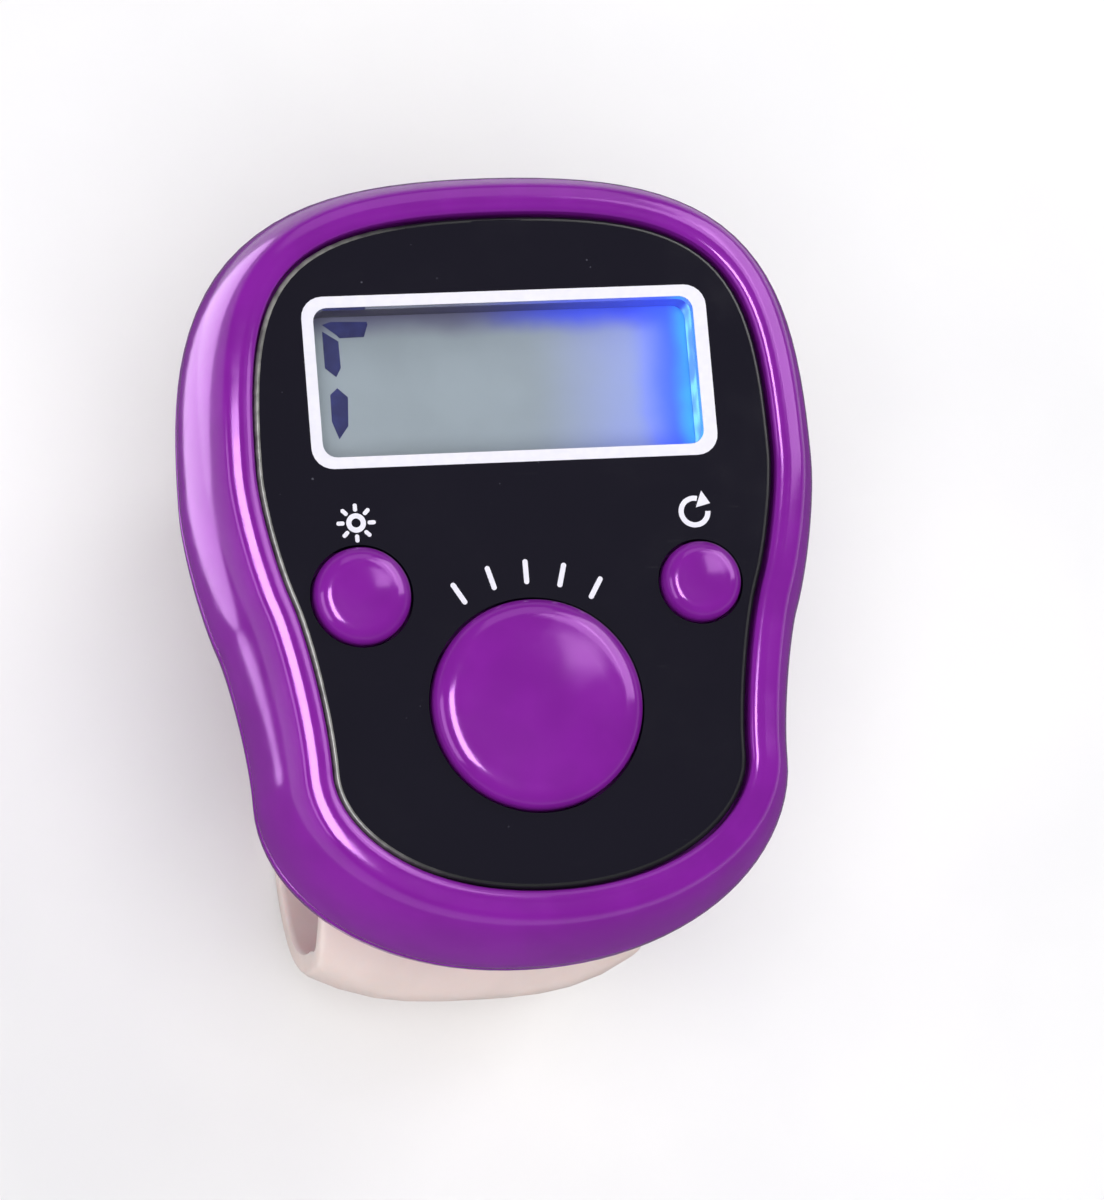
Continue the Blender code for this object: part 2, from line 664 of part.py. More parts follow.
def make_door():
    axis = (0.0, BATTERY_Y)
    door = piece(
        "battery_door",
        cylinder(axis, DOOR_RADIUS, BACK_Z, DOOR_TOP_Z),
        PURPLE,
        (0.0, BATTERY_Y, BACK_Z),
    )
    reach = DOOR_RADIUS + LUG_REACH - EDGE_GAP
    low = (-reach, BATTERY_Y - LUG_WIDTH / 2, BACK_Z + LEDGE_THICKNESS + STACK_GAP)
    high = (reach, BATTERY_Y + LUG_WIDTH / 2, DOOR_TOP_Z - STACK_GAP)
    join(door, box(low, high))
    low = (-COIN_SLOT_LENGTH / 2, BATTERY_Y - COIN_SLOT_WIDTH / 2, BACK_Z - CUT_MARGIN)
    high = (COIN_SLOT_LENGTH / 2, BATTERY_Y + COIN_SLOT_WIDTH / 2, BACK_Z + COIN_SLOT_DEPTH)
    cut(door, box(low, high, COIN_SLOT_WIDTH / 4))


def make_back_case():
    edge_z = PARTING_Z - STACK_GAP
    depth = edge_z - BACK_Z
    outer = []
    for step in range(BACK_ROUND_STEPS + 1):
        z = BACK_Z + depth * (1 - math.cos(step / BACK_ROUND_STEPS * math.pi / 2))
        outer.append((side_offset(z), z))
    outer += [(LIP_OFFSET, edge_z), (LIP_OFFSET, LIP_TOP_Z)]
    case = piece("back_case", loft([face_ring(*ring) for ring in outer]), PURPLE)
    floor_z = BACK_Z + BACK_PLATE
    inner = (
        (BACK_CAVITY_OFFSET - FLOOR_ROUND, floor_z),
        (BACK_CAVITY_OFFSET - 0.3 * FLOOR_ROUND, floor_z + 0.3 * FLOOR_ROUND),
        (BACK_CAVITY_OFFSET, floor_z + FLOOR_ROUND),
        (BACK_CAVITY_OFFSET, LIP_TOP_Z + CUT_MARGIN),
    )
    cut(case, loft([face_ring(*ring) for ring in inner]))

    ring = bmesh.new()
    add_cylinder(ring, (0.0, BATTERY_Y), RING_RADIUS, BACK_Z + BACK_PLATE / 2, RING_TOP_Z)
    join(case, ring)
    well = bmesh.new()
    add_cylinder(well, (0.0, BATTERY_Y), WELL_RADIUS + WELL_WALL, BACK_Z + BACK_PLATE / 2, WELL_TOP_Z)
    for screw in CASE_SCREWS:
        add_cylinder(well, screw, POST_RADIUS, BACK_Z + BACK_PLATE / 2, POST_TOP_Z, SMALL_STEPS)
    join(case, well)
    reliefs = bmesh.new()
    for screw in CASE_SCREWS:
        add_cylinder(reliefs, screw, BOSS_RADIUS + EDGE_GAP, POST_TOP_Z, LIP_TOP_Z + CUT_MARGIN, SMALL_STEPS)
    cut(case, reliefs)

    cut(case, cylinder((0.0, BATTERY_Y), WELL_RADIUS, DOOR_TOP_Z, WELL_TOP_Z + CUT_MARGIN))
    cut(case, cylinder((0.0, BATTERY_Y), GROOVE_RADIUS, BACK_Z + LEDGE_THICKNESS, GROOVE_TOP_Z))
    cut(case, cylinder((0.0, BATTERY_Y), DOOR_RADIUS + EDGE_GAP, BACK_Z - CUT_MARGIN, BACK_Z + LEDGE_THICKNESS * 1.2))

    notch = box(
        (-GROOVE_RADIUS, -LUG_WIDTH / 2 - EDGE_GAP, BACK_Z - CUT_MARGIN),
        (GROOVE_RADIUS, LUG_WIDTH / 2 + EDGE_GAP, BACK_Z + LEDGE_THICKNESS * 1.1),
    )
    turn = Matrix.Rotation(-BAYONET_TURN, 4, "Z")
    bmesh.ops.transform(notch, matrix=turn, verts=notch.verts)
    bmesh.ops.translate(notch, verts=notch.verts, vec=(0.0, BATTERY_Y, 0.0))
    cut(case, notch)

    contact_pocket = box(
        (0.0, BATTERY_Y - CONTACT_WIDTH / 2 - EDGE_GAP, GROOVE_TOP_Z - STACK_GAP),
        (
            CELL_RADIUS + STACK_GAP + CONTACT_THICKNESS + EDGE_GAP,
            BATTERY_Y + CONTACT_WIDTH / 2 + EDGE_GAP,
            WELL_TOP_Z + CUT_MARGIN,
        ),
    )
    cut(case, contact_pocket)

    slot = box(
        (-STRAP_HALF_WIDTH - EDGE_GAP, SLOT_Y - SLOT_HALF_DEPTH, BACK_Z - CUT_MARGIN),
        (STRAP_HALF_WIDTH + EDGE_GAP, SLOT_Y + SLOT_HALF_DEPTH, BACK_Z + BACK_PLATE + CUT_MARGIN),
    )
    cut(case, slot)

    holes = bmesh.new()
    for screw in CASE_SCREWS:
        add_cylinder(holes, screw, CASE_SCREW_RADIUS + SCREW_GAP, BACK_Z - CUT_MARGIN, POST_TOP_Z + CUT_MARGIN, SMALL_STEPS)
    cut(case, holes)
    sinks = bmesh.new()
    for screw in CASE_SCREWS:
        top = screw_shoulder() + STACK_GAP
        add_cylinder(sinks, screw, CASE_SCREW_HEAD_RADIUS + EDGE_GAP, BACK_Z - CUT_MARGIN, top, SMALL_STEPS)
    cut(case, sinks)

    join(case, cylinder((0.0, PEG_Y), PEG_RADIUS, PEG_HEAD_TOP_Z - PEG_HEAD / 2, BACK_Z + BACK_PLATE / 2, SMALL_STEPS))
    join(case, cylinder((0.0, PEG_Y), PEG_HEAD_RADIUS, PEG_HEAD_TOP_Z - PEG_HEAD, PEG_HEAD_TOP_Z, SMALL_STEPS))


def screw_shoulder():
    """The height at which a case screw's head meets its seat."""
    return BACK_Z + CASE_SCREW_SINK + CASE_SCREW_HEAD


def make_screw(name, axis, shoulder, head_radius, head, radius, length):
    """A pan-head screw that points up, with a cross recess in its head."""
    low = shoulder - head
    tip = shoulder + length
    profile = (
        (0.0, tip),
        (radius * 0.5, tip),
        (radius, tip - radius),
        (radius, shoulder),
        (head_radius, shoulder),
        (head_radius, low + head * 0.35),
        (head_radius * 0.8, low),
        (0.0, low),
    )
    screw = turned(name, profile, STEEL, axis, SMALL_STEPS)
    reach = head_radius * 0.6
    width = RECESS_WIDTH / 2
    for half_x, half_y in ((reach, width), (width, reach)):
        low_corner = (axis[0] - half_x, axis[1] - half_y, low - CUT_MARGIN)
        high_corner = (axis[0] + half_x, axis[1] + half_y, low + head * 0.5)
        cut(screw, box(low_corner, high_corner))


def make_screws():
    for number, axis in enumerate(CASE_SCREWS, start=1):
        make_screw(
            f"case_screw_{number}", axis, screw_shoulder(),
            CASE_SCREW_HEAD_RADIUS, CASE_SCREW_HEAD, CASE_SCREW_RADIUS, CASE_SCREW_LENGTH,
        )
    for number, axis in enumerate(BOARD_SCREWS, start=1):
        make_screw(
            f"board_screw_{number}", axis, BOARD_Z - STACK_GAP,
            BOARD_SCREW_HEAD_RADIUS, BOARD_SCREW_HEAD, BOARD_SCREW_RADIUS, BOARD_SCREW_LENGTH,
        )


def strap_route():
    """The strap's centre line as (y, z), from its head in the case to the end of its tail."""
    floor_z = STRAP_THICKNESS / 2
    side_z = BACK_Z - LOOP_HEIGHT * 0.47
    front = Vector((SLOT_Y - FRONT_BULGE, side_z))
    rear = Vector((PEG_Y + REAR_BULGE, side_z))
    below_slot = Vector((SLOT_Y, BACK_Z - STRAP_THICKNESS / 2))
    in_head = Vector((SLOT_Y, BACK_Z + BACK_PLATE + STRAP_THICKNESS / 2))
    floor_front = Vector((SLOT_Y + FLOOR_FROM_SLOT, floor_z))
    floor_rear = Vector((PEG_Y - FLOOR_FROM_PEG, floor_z))
    tail_start = Vector((PEG_Y + STRAP_HOLE_RADIUS + EDGE_GAP, TAIL_Z))
    tail_end = Vector((PEG_Y - STRAP_HOLE_PITCH - TAIL_LENGTH, TAIL_Z))
    up = Vector((0.0, 1.0))
    back = Vector((1.0, 0.0))
    drop = side_z - floor_z
    rise = TAIL_Z - side_z
    round_pull = 0.55
    route = [in_head]
    route += bezier((below_slot, below_slot - up * rise * 0.45, front + up * rise * 0.4, front), STRAP_STEPS)
    front_pull = (floor_front.x - front.x) * round_pull
    route += bezier((front, front - up * drop * round_pull, floor_front - back * front_pull, floor_front), STRAP_STEPS)
    route += [floor_front.lerp(floor_rear, step / 4) for step in range(4)]
    rear_pull = (rear.x - floor_rear.x) * round_pull
    route += bezier((floor_rear, floor_rear + back * rear_pull, rear - up * drop * round_pull, rear), STRAP_STEPS)
    top_pull = (rear.x - tail_start.x) * round_pull
    route += bezier((rear, rear + up * rise * round_pull, tail_start + back * top_pull, tail_start), STRAP_STEPS)
    bend_end = tail_end - (tail_end - tail_start).normalized() * TAIL_LENGTH
    route += [tail_start.lerp(bend_end, step / 3) for step in range(3)]
    for step in range(STRAP_STEPS // 2 + 1):
        turn = step / (STRAP_STEPS // 2) * math.pi / 2 * 0.96
        route.append(bend_end.lerp(tail_end, math.sin(turn)))
    return route


def strap_frames():
    """Each station of the route: its point, the outward direction and the length so far."""
    route = strap_route()
    frames = []
    length = 0.0
    for index, point in enumerate(route):
        before = route[max(index - 1, 0)]
        after = route[min(index + 1, len(route) - 1)]
        along = (after - before).normalized()
        outward = Vector((along.y, -along.x))
        if index:
            length += (point - route[index - 1]).length
        frames.append((point, outward, length))
    return frames


def strap_section(point, outward, length, tail_left):
    """One ring of the strap: flat where it passes the slot or lies flat, crowned where it bulges."""
    settle = min(max((length - BACK_PLATE - STRAP_THICKNESS) / (LOOP_HEIGHT * 0.4), 0.0), 1.0)
    crown = STRAP_CROWN * outward.x * abs(outward.x) * settle * settle * (3 - 2 * settle)
    half = STRAP_HALF_WIDTH
    if tail_left < TAIL_LENGTH:
        half -= TAIL_LENGTH * (1 - math.sqrt(max(1 - (1 - tail_left / TAIL_LENGTH) ** 2, 0.0)))
    across = (-1.0, -0.75, -0.4, 0.0, 0.4, 0.75, 1.0)
    ring = []
    for side, steps in ((0.5, across), (-0.5, tuple(reversed(across)))):
        for share in steps:
            spot = point + outward * (STRAP_THICKNESS * side) - Vector((crown * abs(share) ** 3, 0.0))
            ring.append(Vector((half * share, spot.x, spot.y)))
    return ring


def make_strap():
    frames = strap_frames()
    total = frames[-1][2]
    rings = [strap_section(point, outward, length, total - length) for point, outward, length in frames]
    strap = piece("finger_strap", loft(rings), MILKY)
    head = box(
        (-STRAP_HEAD_HALF_WIDTH, SLOT_Y - STRAP_HEAD_DEPTH / 2, BACK_Z + BACK_PLATE + STACK_GAP),
        (STRAP_HEAD_HALF_WIDTH, SLOT_Y + STRAP_HEAD_DEPTH / 2, BACK_Z + BACK_PLATE + STACK_GAP + STRAP_THICKNESS),
    )
    join(strap, head)

    holes = bmesh.new()
    peg_length = total - STRAP_HOLE_PITCH - TAIL_LENGTH
    for number in range(-3, 2):
        wanted = peg_length + number * STRAP_HOLE_PITCH
        point, outward = along_strap(frames, wanted)
        add_hole(holes, point, outward)
    cut(strap, holes)


def along_strap(frames, wanted):
    """The point and outward direction at a length along the strap."""
    for (start, start_out, start_length), (end, end_out, end_length) in zip(frames, frames[1:]):
        if start_length <= wanted <= end_length:
            share = (wanted - start_length) / (end_length - start_length)
            return start.lerp(end, share), start_out.lerp(end_out, share).normalized()
    return frames[-1][0], frames[-1][1]


def add_hole(bm, point, outward):
    """A round hole through the strap, square to it."""
    made = bmesh.ops.create_cone(
        bm,
        cap_ends=True,
        segments=SMALL_STEPS,
        radius1=STRAP_HOLE_RADIUS,
        radius2=STRAP_HOLE_RADIUS,
        depth=STRAP_THICKNESS + 2 * STRAP_HOLE_RADIUS,
    )
    direction = Vector((0.0, outward.x, outward.y))
    turn = Vector((0.0, 0.0, 1.0)).rotation_difference(direction).to_matrix()
    bmesh.ops.transform(bm, matrix=turn.to_4x4(), verts=made["verts"])
    bmesh.ops.translate(bm, verts=made["verts"], vec=(0.0, point.x, point.y))


clear_scene()
PARTS = new_collection("finger_counter")
CUTTERS = new_collection("cutters")

PURPLE = material("purple_gloss_abs", (0.25, 0.021, 0.35), 0.18)
BLACK_GLOSS = material("black_printed_acrylic", (0.009, 0.008, 0.015), 0.1)
CLEAR = material("clear_acrylic", (0.9, 0.93, 0.95), 0.05, alpha=0.35)
ADHESIVE = material("adhesive_film", (0.75, 0.73, 0.66), 0.5)
LCD = material("lcd_glass", (0.32, 0.37, 0.39), 0.15)
RUBBER = material("silicone_rubber", (0.6, 0.6, 0.58), 0.6)
MILKY = material("milky_tpu", (0.82, 0.79, 0.78), 0.4)
BOARD = material("green_circuit_board", (0.02, 0.14, 0.05), 0.4)
RESIN = material("black_resin", (0.01, 0.01, 0.01), 0.35)
CERAMIC = material("tan_ceramic", (0.45, 0.3, 0.15), 0.5)
STEEL = material("nickel_plated_steel", (0.6, 0.6, 0.6), 0.25, 1.0)
SPRING = material("tinned_spring_brass", (0.7, 0.65, 0.5), 0.3, 1.0)

make_front_case()
make_face()
make_buttons()
make_display()
make_board()
make_battery()
make_door()
make_back_case()
make_screws()
make_strap()
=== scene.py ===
"""Digital finger counter: the finished look of every piece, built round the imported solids.

The display faces +Z, its top edge lies towards +Y and the strap's loop stands on z = 0.
All sizes are metres.
"""

import math

import bmesh
import bpy
from bpy.props import FloatProperty, FloatVectorProperty, PointerProperty
from mathutils import Matrix, Vector


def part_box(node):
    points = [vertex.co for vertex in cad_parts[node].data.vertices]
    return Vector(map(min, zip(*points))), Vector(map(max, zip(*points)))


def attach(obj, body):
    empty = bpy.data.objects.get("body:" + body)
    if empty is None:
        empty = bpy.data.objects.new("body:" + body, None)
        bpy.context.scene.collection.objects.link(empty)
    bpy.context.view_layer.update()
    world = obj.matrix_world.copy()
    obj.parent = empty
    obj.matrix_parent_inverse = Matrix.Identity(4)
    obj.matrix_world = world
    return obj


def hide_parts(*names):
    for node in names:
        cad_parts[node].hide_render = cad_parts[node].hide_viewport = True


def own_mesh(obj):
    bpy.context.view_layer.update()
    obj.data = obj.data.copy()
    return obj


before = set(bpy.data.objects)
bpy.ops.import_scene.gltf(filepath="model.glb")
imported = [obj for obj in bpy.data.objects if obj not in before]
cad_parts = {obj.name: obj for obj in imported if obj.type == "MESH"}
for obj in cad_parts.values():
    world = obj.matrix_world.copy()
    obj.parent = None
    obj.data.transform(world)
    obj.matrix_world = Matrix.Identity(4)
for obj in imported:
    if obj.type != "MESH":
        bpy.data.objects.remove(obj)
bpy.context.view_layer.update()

bl_info = {
    "name": "Digital Finger Counter",
    "version": (1, 0, 0),
    "blender": (4, 5, 0),
    "location": "View3D > Sidebar > Finger Counter",
    "description": "Builds the finished pieces and the stage of a digital finger counter",
    "category": "Add Mesh",
}

FULL_TURN = 2 * math.pi


def axis_of(node):
    """The x, y of the upright axis through a CAD node's middle."""
    low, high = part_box(node)
    return ((low.x + high.x) / 2, (low.y + high.y) / 2)


# Gaps and margins.
EDGE_GAP = 0.00015
STACK_GAP = 0.0001
CUT_MARGIN = 0.001
HAIR = 1e-5

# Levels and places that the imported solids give.
PANEL_LOW, PANEL_TOP = (corner.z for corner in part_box("face_panel"))
BACK_Z, DOOR_TOP = (corner.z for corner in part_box("battery_door"))
BOARD_LOW, BOARD_TOP = (corner.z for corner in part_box("circuit_board"))
GLASS_LOW, GLASS_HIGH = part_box("lcd_glass")
PANE_LOW, PANE_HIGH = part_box("window_lens")
WINDOW_Y = (PANE_LOW.y + PANE_HIGH.y) / 2
WINDOW_HALF_WIDTH = PANE_HIGH.x + STACK_GAP
WINDOW_HALF_HEIGHT = (PANE_HIGH.y - PANE_LOW.y) / 2 + STACK_GAP
DOOR_AXIS = axis_of("battery_door")
CASE_SCREWS = [axis_of(f"case_screw_{number}") for number in (1, 2, 3, 4)]
BOARD_SCREWS = [axis_of(f"board_screw_{number}") for number in (1, 2, 3)]

# Levels between the solids, as the CAD source stacks them.
RECESS_Z = PANEL_LOW - 0.0004
DECK_Z = RECESS_Z - 0.001
GUIDE_Z = BOARD_TOP + 0.0001
LIP_TOP_Z = BOARD_LOW - 0.0007
PARTING_Z = LIP_TOP_Z - 0.0008
POST_TOP_Z = BACK_Z + 0.0032
GROOVE_TOP_Z = DOOR_TOP + 0.0001
WELL_TOP_Z = BOARD_LOW - 0.0004

# Radii about the battery door's axis, and of the screw posts.
WELL_RADIUS = 0.00625
DOOR_RADIUS = 0.0069
MOUTH_RADIUS = 0.00705
WELL_WALL_RADIUS = 0.00715
GROOVE_RADIUS = 0.00785
RING_RADIUS = 0.00875
PILOT_RADIUS = 0.00095
FRONT_POST_RADIUS = 0.00165
BACK_POST_RADIUS = 0.0024

# The strap passes through the back in front of the battery ring, and its tail hooks on behind it.
SLOT_Y = DOOR_AXIS[1] - RING_RADIUS - EDGE_GAP - 0.0012
PEG_Y = DOOR_AXIS[1] + RING_RADIUS + 0.0044

# Steps in the outline's four stretches, from the top centre down the right side.
OUTLINE_STEPS = (26, 12, 16, 24)

# The rim's crest from its shoulder inwards: how far in, and how far below the top.
CREST_CURVE = (
    (0.00006, 0.000314), (0.00011, 0.000266), (0.00017, 0.00022), (0.00023, 0.000184),
    (0.0003, 0.000151), (0.0004, 0.0001145), (0.00055, 0.00007), (0.0007, 0.000033),
    (0.00078, 0.000016), (0.00085, 0.000005), (0.00095, 0.0),
)


def linear(hex_colour, alpha=1.0):
    """A linear colour from an sRGB hex value."""
    found = []
    for start in (1, 3, 5):
        value = int(hex_colour[start:start + 2], 16) / 255
        found.append(value / 12.92 if value <= 0.04045 else ((value + 0.055) / 1.055) ** 2.4)
    return (*found, alpha)


def length(name, description, default):
    return FloatProperty(name=name, description=description, default=default, unit="LENGTH")


def tint(name, description, default):
    colour = linear(default)[:3]
    return FloatVectorProperty(name=name, description=description, default=colour, subtype="COLOR", size=3)


class CounterOutline(bpy.types.PropertyGroup):
    """The printed panel's edge, which the case follows: its right half, which is then mirrored."""

    half_length: length("Half Length", "Centre to top of the panel", 0.017)
    half_width: length("Half Width", "Half of the widest place", 0.013)
    widest_y: length("Widest At", "Height of the widest place", 0.0045)
    waist_half_width: length("Waist Half Width", "Half of the waist", 0.01175)
    waist_y: length("Waist At", "Height of the waist", -0.0021)
    waist_lean: FloatProperty(name="Waist Lean", description="Slope of the side at the waist", default=0.37)
    chin_half_width: length("Chin Half Width", "Half of the width at the chin", 0.01035)
    chin_y: length("Chin At", "Height of the chin", -0.0108)
    crown_pull: length("Crown Pull", "Roundness of the top", 0.0114)
    shoulder_pull: length("Shoulder Pull", "Roundness of the upper corners", 0.0095)
    waist_pull: length("Waist Pull", "Softness of the waist", 0.00175)
    chin_pull: length("Chin Pull", "Softness of the chin", 0.0027)
    bottom_pull: length("Bottom Pull", "Roundness of the bottom", 0.0068)


class CounterSizes(bpy.types.PropertyGroup):
    """Sizes of the case, keys, print and strap."""

    rim_width: length("Rim Width", "Panel edge to the case's widest line", 0.003)
    rim_rise: length("Rim Rise", "Rim's crest above the panel", 0.0006)
    crest_offset: length("Crest Offset", "Panel edge to the rim's crest", 0.0012)
    rim_fullness: FloatProperty(name="Rim Fullness", description="Exponent of the rim's curve", default=1.64)
    widest_depth: length("Widest Depth", "Panel top down to the widest line", 0.00525)
    wall: length("Wall", "Thickness of the case's wall", 0.0015)
    seam_round: length("Seam Round", "Rounding of the edges that meet at the parting line", 0.00012)
    panel_edge: length("Panel Edge", "Width of the panel's clear, rounded edge", 0.00024)
    frame_line: length("Frame Line", "Width of the white line round the window", 0.00058)
    ink: length("Ink", "Thickness of the print", 0.00002)
    icon_stroke: length("Icon Stroke", "Width of the symbols' strokes", 0.00026)
    count_radius: length("Count Radius", "Radius of the count key", 0.00525)
    light_radius: length("Light Radius", "Radius of the light key", 0.00243)
    reset_radius: length("Reset Radius", "Radius of the reset key", 0.002)
    strap_thickness: length("Strap Thickness", "Thickness of the finger strap", 0.0012)
    strap_half_width: length("Strap Half Width", "Half of the strap's width", 0.0086)
    strap_edge: length("Strap Edge", "Rounding of the strap's edges", 0.00035)


class CounterColours(bpy.types.PropertyGroup):
    """Colours of the visible finishes."""

    case: tint("Case", "Purple ABS", "#801d99")
    panel: tint("Panel", "Black printed acrylic", "#100d1c")
    print_white: tint("Print", "White screen-printing ink", "#eceaf6")
    display: tint("Display", "Grey-green display glass", "#9da8b0")
    strap: tint("Strap", "Milky soft plastic", "#e9d8d3")


def sizes():
    return bpy.context.scene.counter_sizes


def colours():
    return bpy.context.scene.counter_colours


# Materials: each maker gives the inputs of a Principled shader, and the material takes the maker's name.

SMOOTH = {"interpolation_type": "SMOOTHSTEP"}
IN_COLOUR = {"data_type": "RGBA"}


def add(tree, kind, inputs=(), output=0, **properties):
    """Adds a node and returns an output. Each input is a value, an sRGB hex or the socket that feeds it."""
    node = tree.nodes.new("ShaderNode" + kind)
    for name, value in properties.items():
        setattr(node, name, value)
    for socket, value in inputs.items() if isinstance(inputs, dict) else enumerate(inputs):
        if isinstance(value, bpy.types.NodeSocket):
            tree.links.new(value, node.inputs[socket])
        else:
            node.inputs[socket].default_value = linear(value) if isinstance(value, str) else value
    return node.outputs[output] if node.outputs else None


def finish(maker):
    """The material of a maker, made once."""
    made = bpy.data.materials.get(maker.__name__)
    if not made:
        made = bpy.data.materials.new(maker.__name__)
        made.use_nodes = True
        tree = made.node_tree
        tree.nodes.clear()
        inputs = maker(tree, add(tree, "TexCoord", output="Object"))
        add(tree, "OutputMaterial", {"Surface": add(tree, "BsdfPrincipled", inputs)})
    return made


def patches(tree, place, grain, detail, start=0.3, end=0.7, low=0.0, high=1.0, roughness=0.5):
    """A value that wanders between low and high over patches about grain metres across."""
    settings = {"Vector": place, "Scale": 1 / grain, "Detail": detail, "Roughness": roughness}
    return add(tree, "MapRange", (add(tree, "TexNoise", settings), start, end, low, high), **SMOOTH)


def mottled(tree, place, grain, detail, first, second, start=0.3, end=0.7):
    """A colour that wanders between two over such patches."""
    share = patches(tree, place, grain, detail, start, end)
    return add(tree, "Mix", {0: share, 6: first, 7: second}, 2, **IN_COLOUR)


def relief(tree, place, grain, detail, depth):
    """The normal of a surface with bumps about grain metres across and depth metres high."""
    height = add(tree, "TexNoise", {"Vector": place, "Scale": 1 / grain, "Detail": detail})
    return add(tree, "Bump", {"Height": height, "Distance": depth, "Strength": 1.0})


def calmed(tree, start, end, least):
    """A gloss that falls to a least level where the surface turns away, so that no lamp washes it out."""
    facing = add(tree, "LayerWeight", {"Blend": 0.5}, "Facing")
    return add(tree, "MapRange", (facing, start, end, 0.5, least), **SMOOTH)


def shades(colour, *factors):
    """A colour made darker or lighter by each factor."""
    return [(*[min(value * factor, 1.0) for value in colour], 1.0) for factor in factors]


def gloss_moulded_abs(tree, place):
    """ABS from a polished mould: a bright gloss with faint flow in the pigment and a little orange peel."""
    return {
        "IOR": 1.54,
        "Specular Tint": "#f0b2ff",
        "Base Color": mottled(tree, place, 0.004, 3.0, *shades(colours().case, 0.94, 1.06), 0.35, 0.65),
        "Roughness": patches(tree, place, 0.0012, 4.0, 0.4, 0.75, 0.12, 0.18, 0.6),
        "Specular IOR Level": calmed(tree, 0.5, 0.85, 0.04),
        "Normal": relief(tree, place, 0.0016, 1.0, 0.000004),
    }


def abs_with_painted_backlight_and_shade(tree, place):
    """The same ABS on the walls of the window, with light and shade painted in: dark indigo painted shade,
    bluer towards the lamp where the backlight's blue falls, and a painted glow brightest at the lamp.
    """
    # Painted light and shade: the colour runs from painted shade to the backlight's blue, and a painted glow
    # with a ripple rises towards the lamp.
    across = add(tree, "SeparateXYZ", (place,))
    blue = add(tree, "MapRange", (across, -0.006, 0.0092, 0.0, 1.0), **SMOOTH)
    at_lamp = add(tree, "MapRange", (across, 0.0094, 0.0096, 0.0, 1.0), **SMOOTH)
    ripple = patches(tree, place, 0.0013, 1.0, 0.35, 0.65, 0.5)
    white = add(tree, "Math", (at_lamp, ripple), operation="MULTIPLY")
    rising = add(tree, "MapRange", (across, 0.0, 0.009, 0.0, 0.45), **SMOOTH)
    return {
        "IOR": 1.54,
        "Roughness": 0.4,
        "Base Color": add(tree, "Mix", {0: blue, 6: "#2c2440", 7: "#39409c"}, 2, **IN_COLOUR),
        "Emission Color": add(tree, "Mix", {0: white, 6: "#2b45f0", 7: "#8ff0ff"}, 2, **IN_COLOUR),
        "Emission Strength": add(tree, "Math", (white, 0.5, rising), operation="MULTIPLY_ADD"),
    }


def black_printed_acrylic(tree, place):
    """Acrylic sheet printed black from behind: a deep gloss with dust specks and a few hairline scratches."""
    specks = add(tree, "TexVoronoi", {"Vector": place, "Scale": 1 / 0.0011})
    dust = add(tree, "MapRange", (specks, 0.02, 0.07, 1.0, 0.0), **SMOOTH)
    dusty = add(tree, "Math", (dust, patches(tree, place, 0.004, 2.0, 0.52, 0.62)), operation="MULTIPLY")
    drawn = add(tree, "Mapping", {"Vector": place, "Rotation": (0.0, 0.0, 0.6), "Scale": (1.0, 14.0, 1.0)})
    hairlines = patches(tree, drawn, 0.003, 5.0, 0.66, 0.72, roughness=0.7)
    haze = patches(tree, place, 0.006, 4.0, 0.35, 0.75, 0.05, 0.13, 0.6)
    black = (*colours().panel, 1.0)
    return {
        "IOR": 1.49,
        "Base Color": add(tree, "Mix", {0: dusty, 6: black, 7: "#54545f"}, 2, **IN_COLOUR),
        "Roughness": add(tree, "Math", (hairlines, 0.12, haze), operation="MULTIPLY_ADD"),
        "Specular IOR Level": calmed(tree, 0.2, 0.5, 0.06),
        "Normal": relief(tree, place, 0.007, 1.0, 0.000006),
    }


def clear_cut_acrylic_edge(tree, place):
    """The unprinted, cut edge of the acrylic sheet: a little green and milky, with a painted highlight that
    makes it pale on the left and dark on the right, and darker streaks.
    """
    # Painted highlight: the edge's colour goes from pale on the left to dark on the right, as the light falls
    # on it.
    sides = add(tree, "MapRange", (add(tree, "SeparateXYZ", (place,)), -0.011, -0.004, 0.0, 1.0), **SMOOTH)
    pale = add(tree, "Mix", {0: sides, 6: "#8c8c87", 7: "#1c1d1f"}, 2, **IN_COLOUR)
    streaks = patches(tree, place, 0.0008, 3.0, 0.35, 0.7, 0.0, 0.55)
    edge = add(tree, "Mix", {0: streaks, 6: pale, 7: "#17181a"}, 2, **IN_COLOUR)
    return {"IOR": 1.49, "Roughness": 0.22, "Base Color": edge}


def white_screen_ink(tree, place):
    """Screen-printed white ink: dense and smooth, with the faint mottling that the mesh leaves."""
    colour = mottled(tree, place, 0.0004, 2.0, *shades(colours().print_white, 0.96, 1.0))
    return {"IOR": 1.5, "Roughness": 0.35, "Base Color": colour}


def polished_clear_acrylic(tree, place):
    """Polished clear acrylic: colourless, with soft haze from handling."""
    return {
        "IOR": 1.49,
        "Transmission Weight": 1.0,
        "Base Color": "#fbfdff",
        "Roughness": patches(tree, place, 0.003, 3.0, 0.4, 0.8, 0.0, 0.03),
        "Specular IOR Level": calmed(tree, 0.2, 0.5, 0.06),
    }


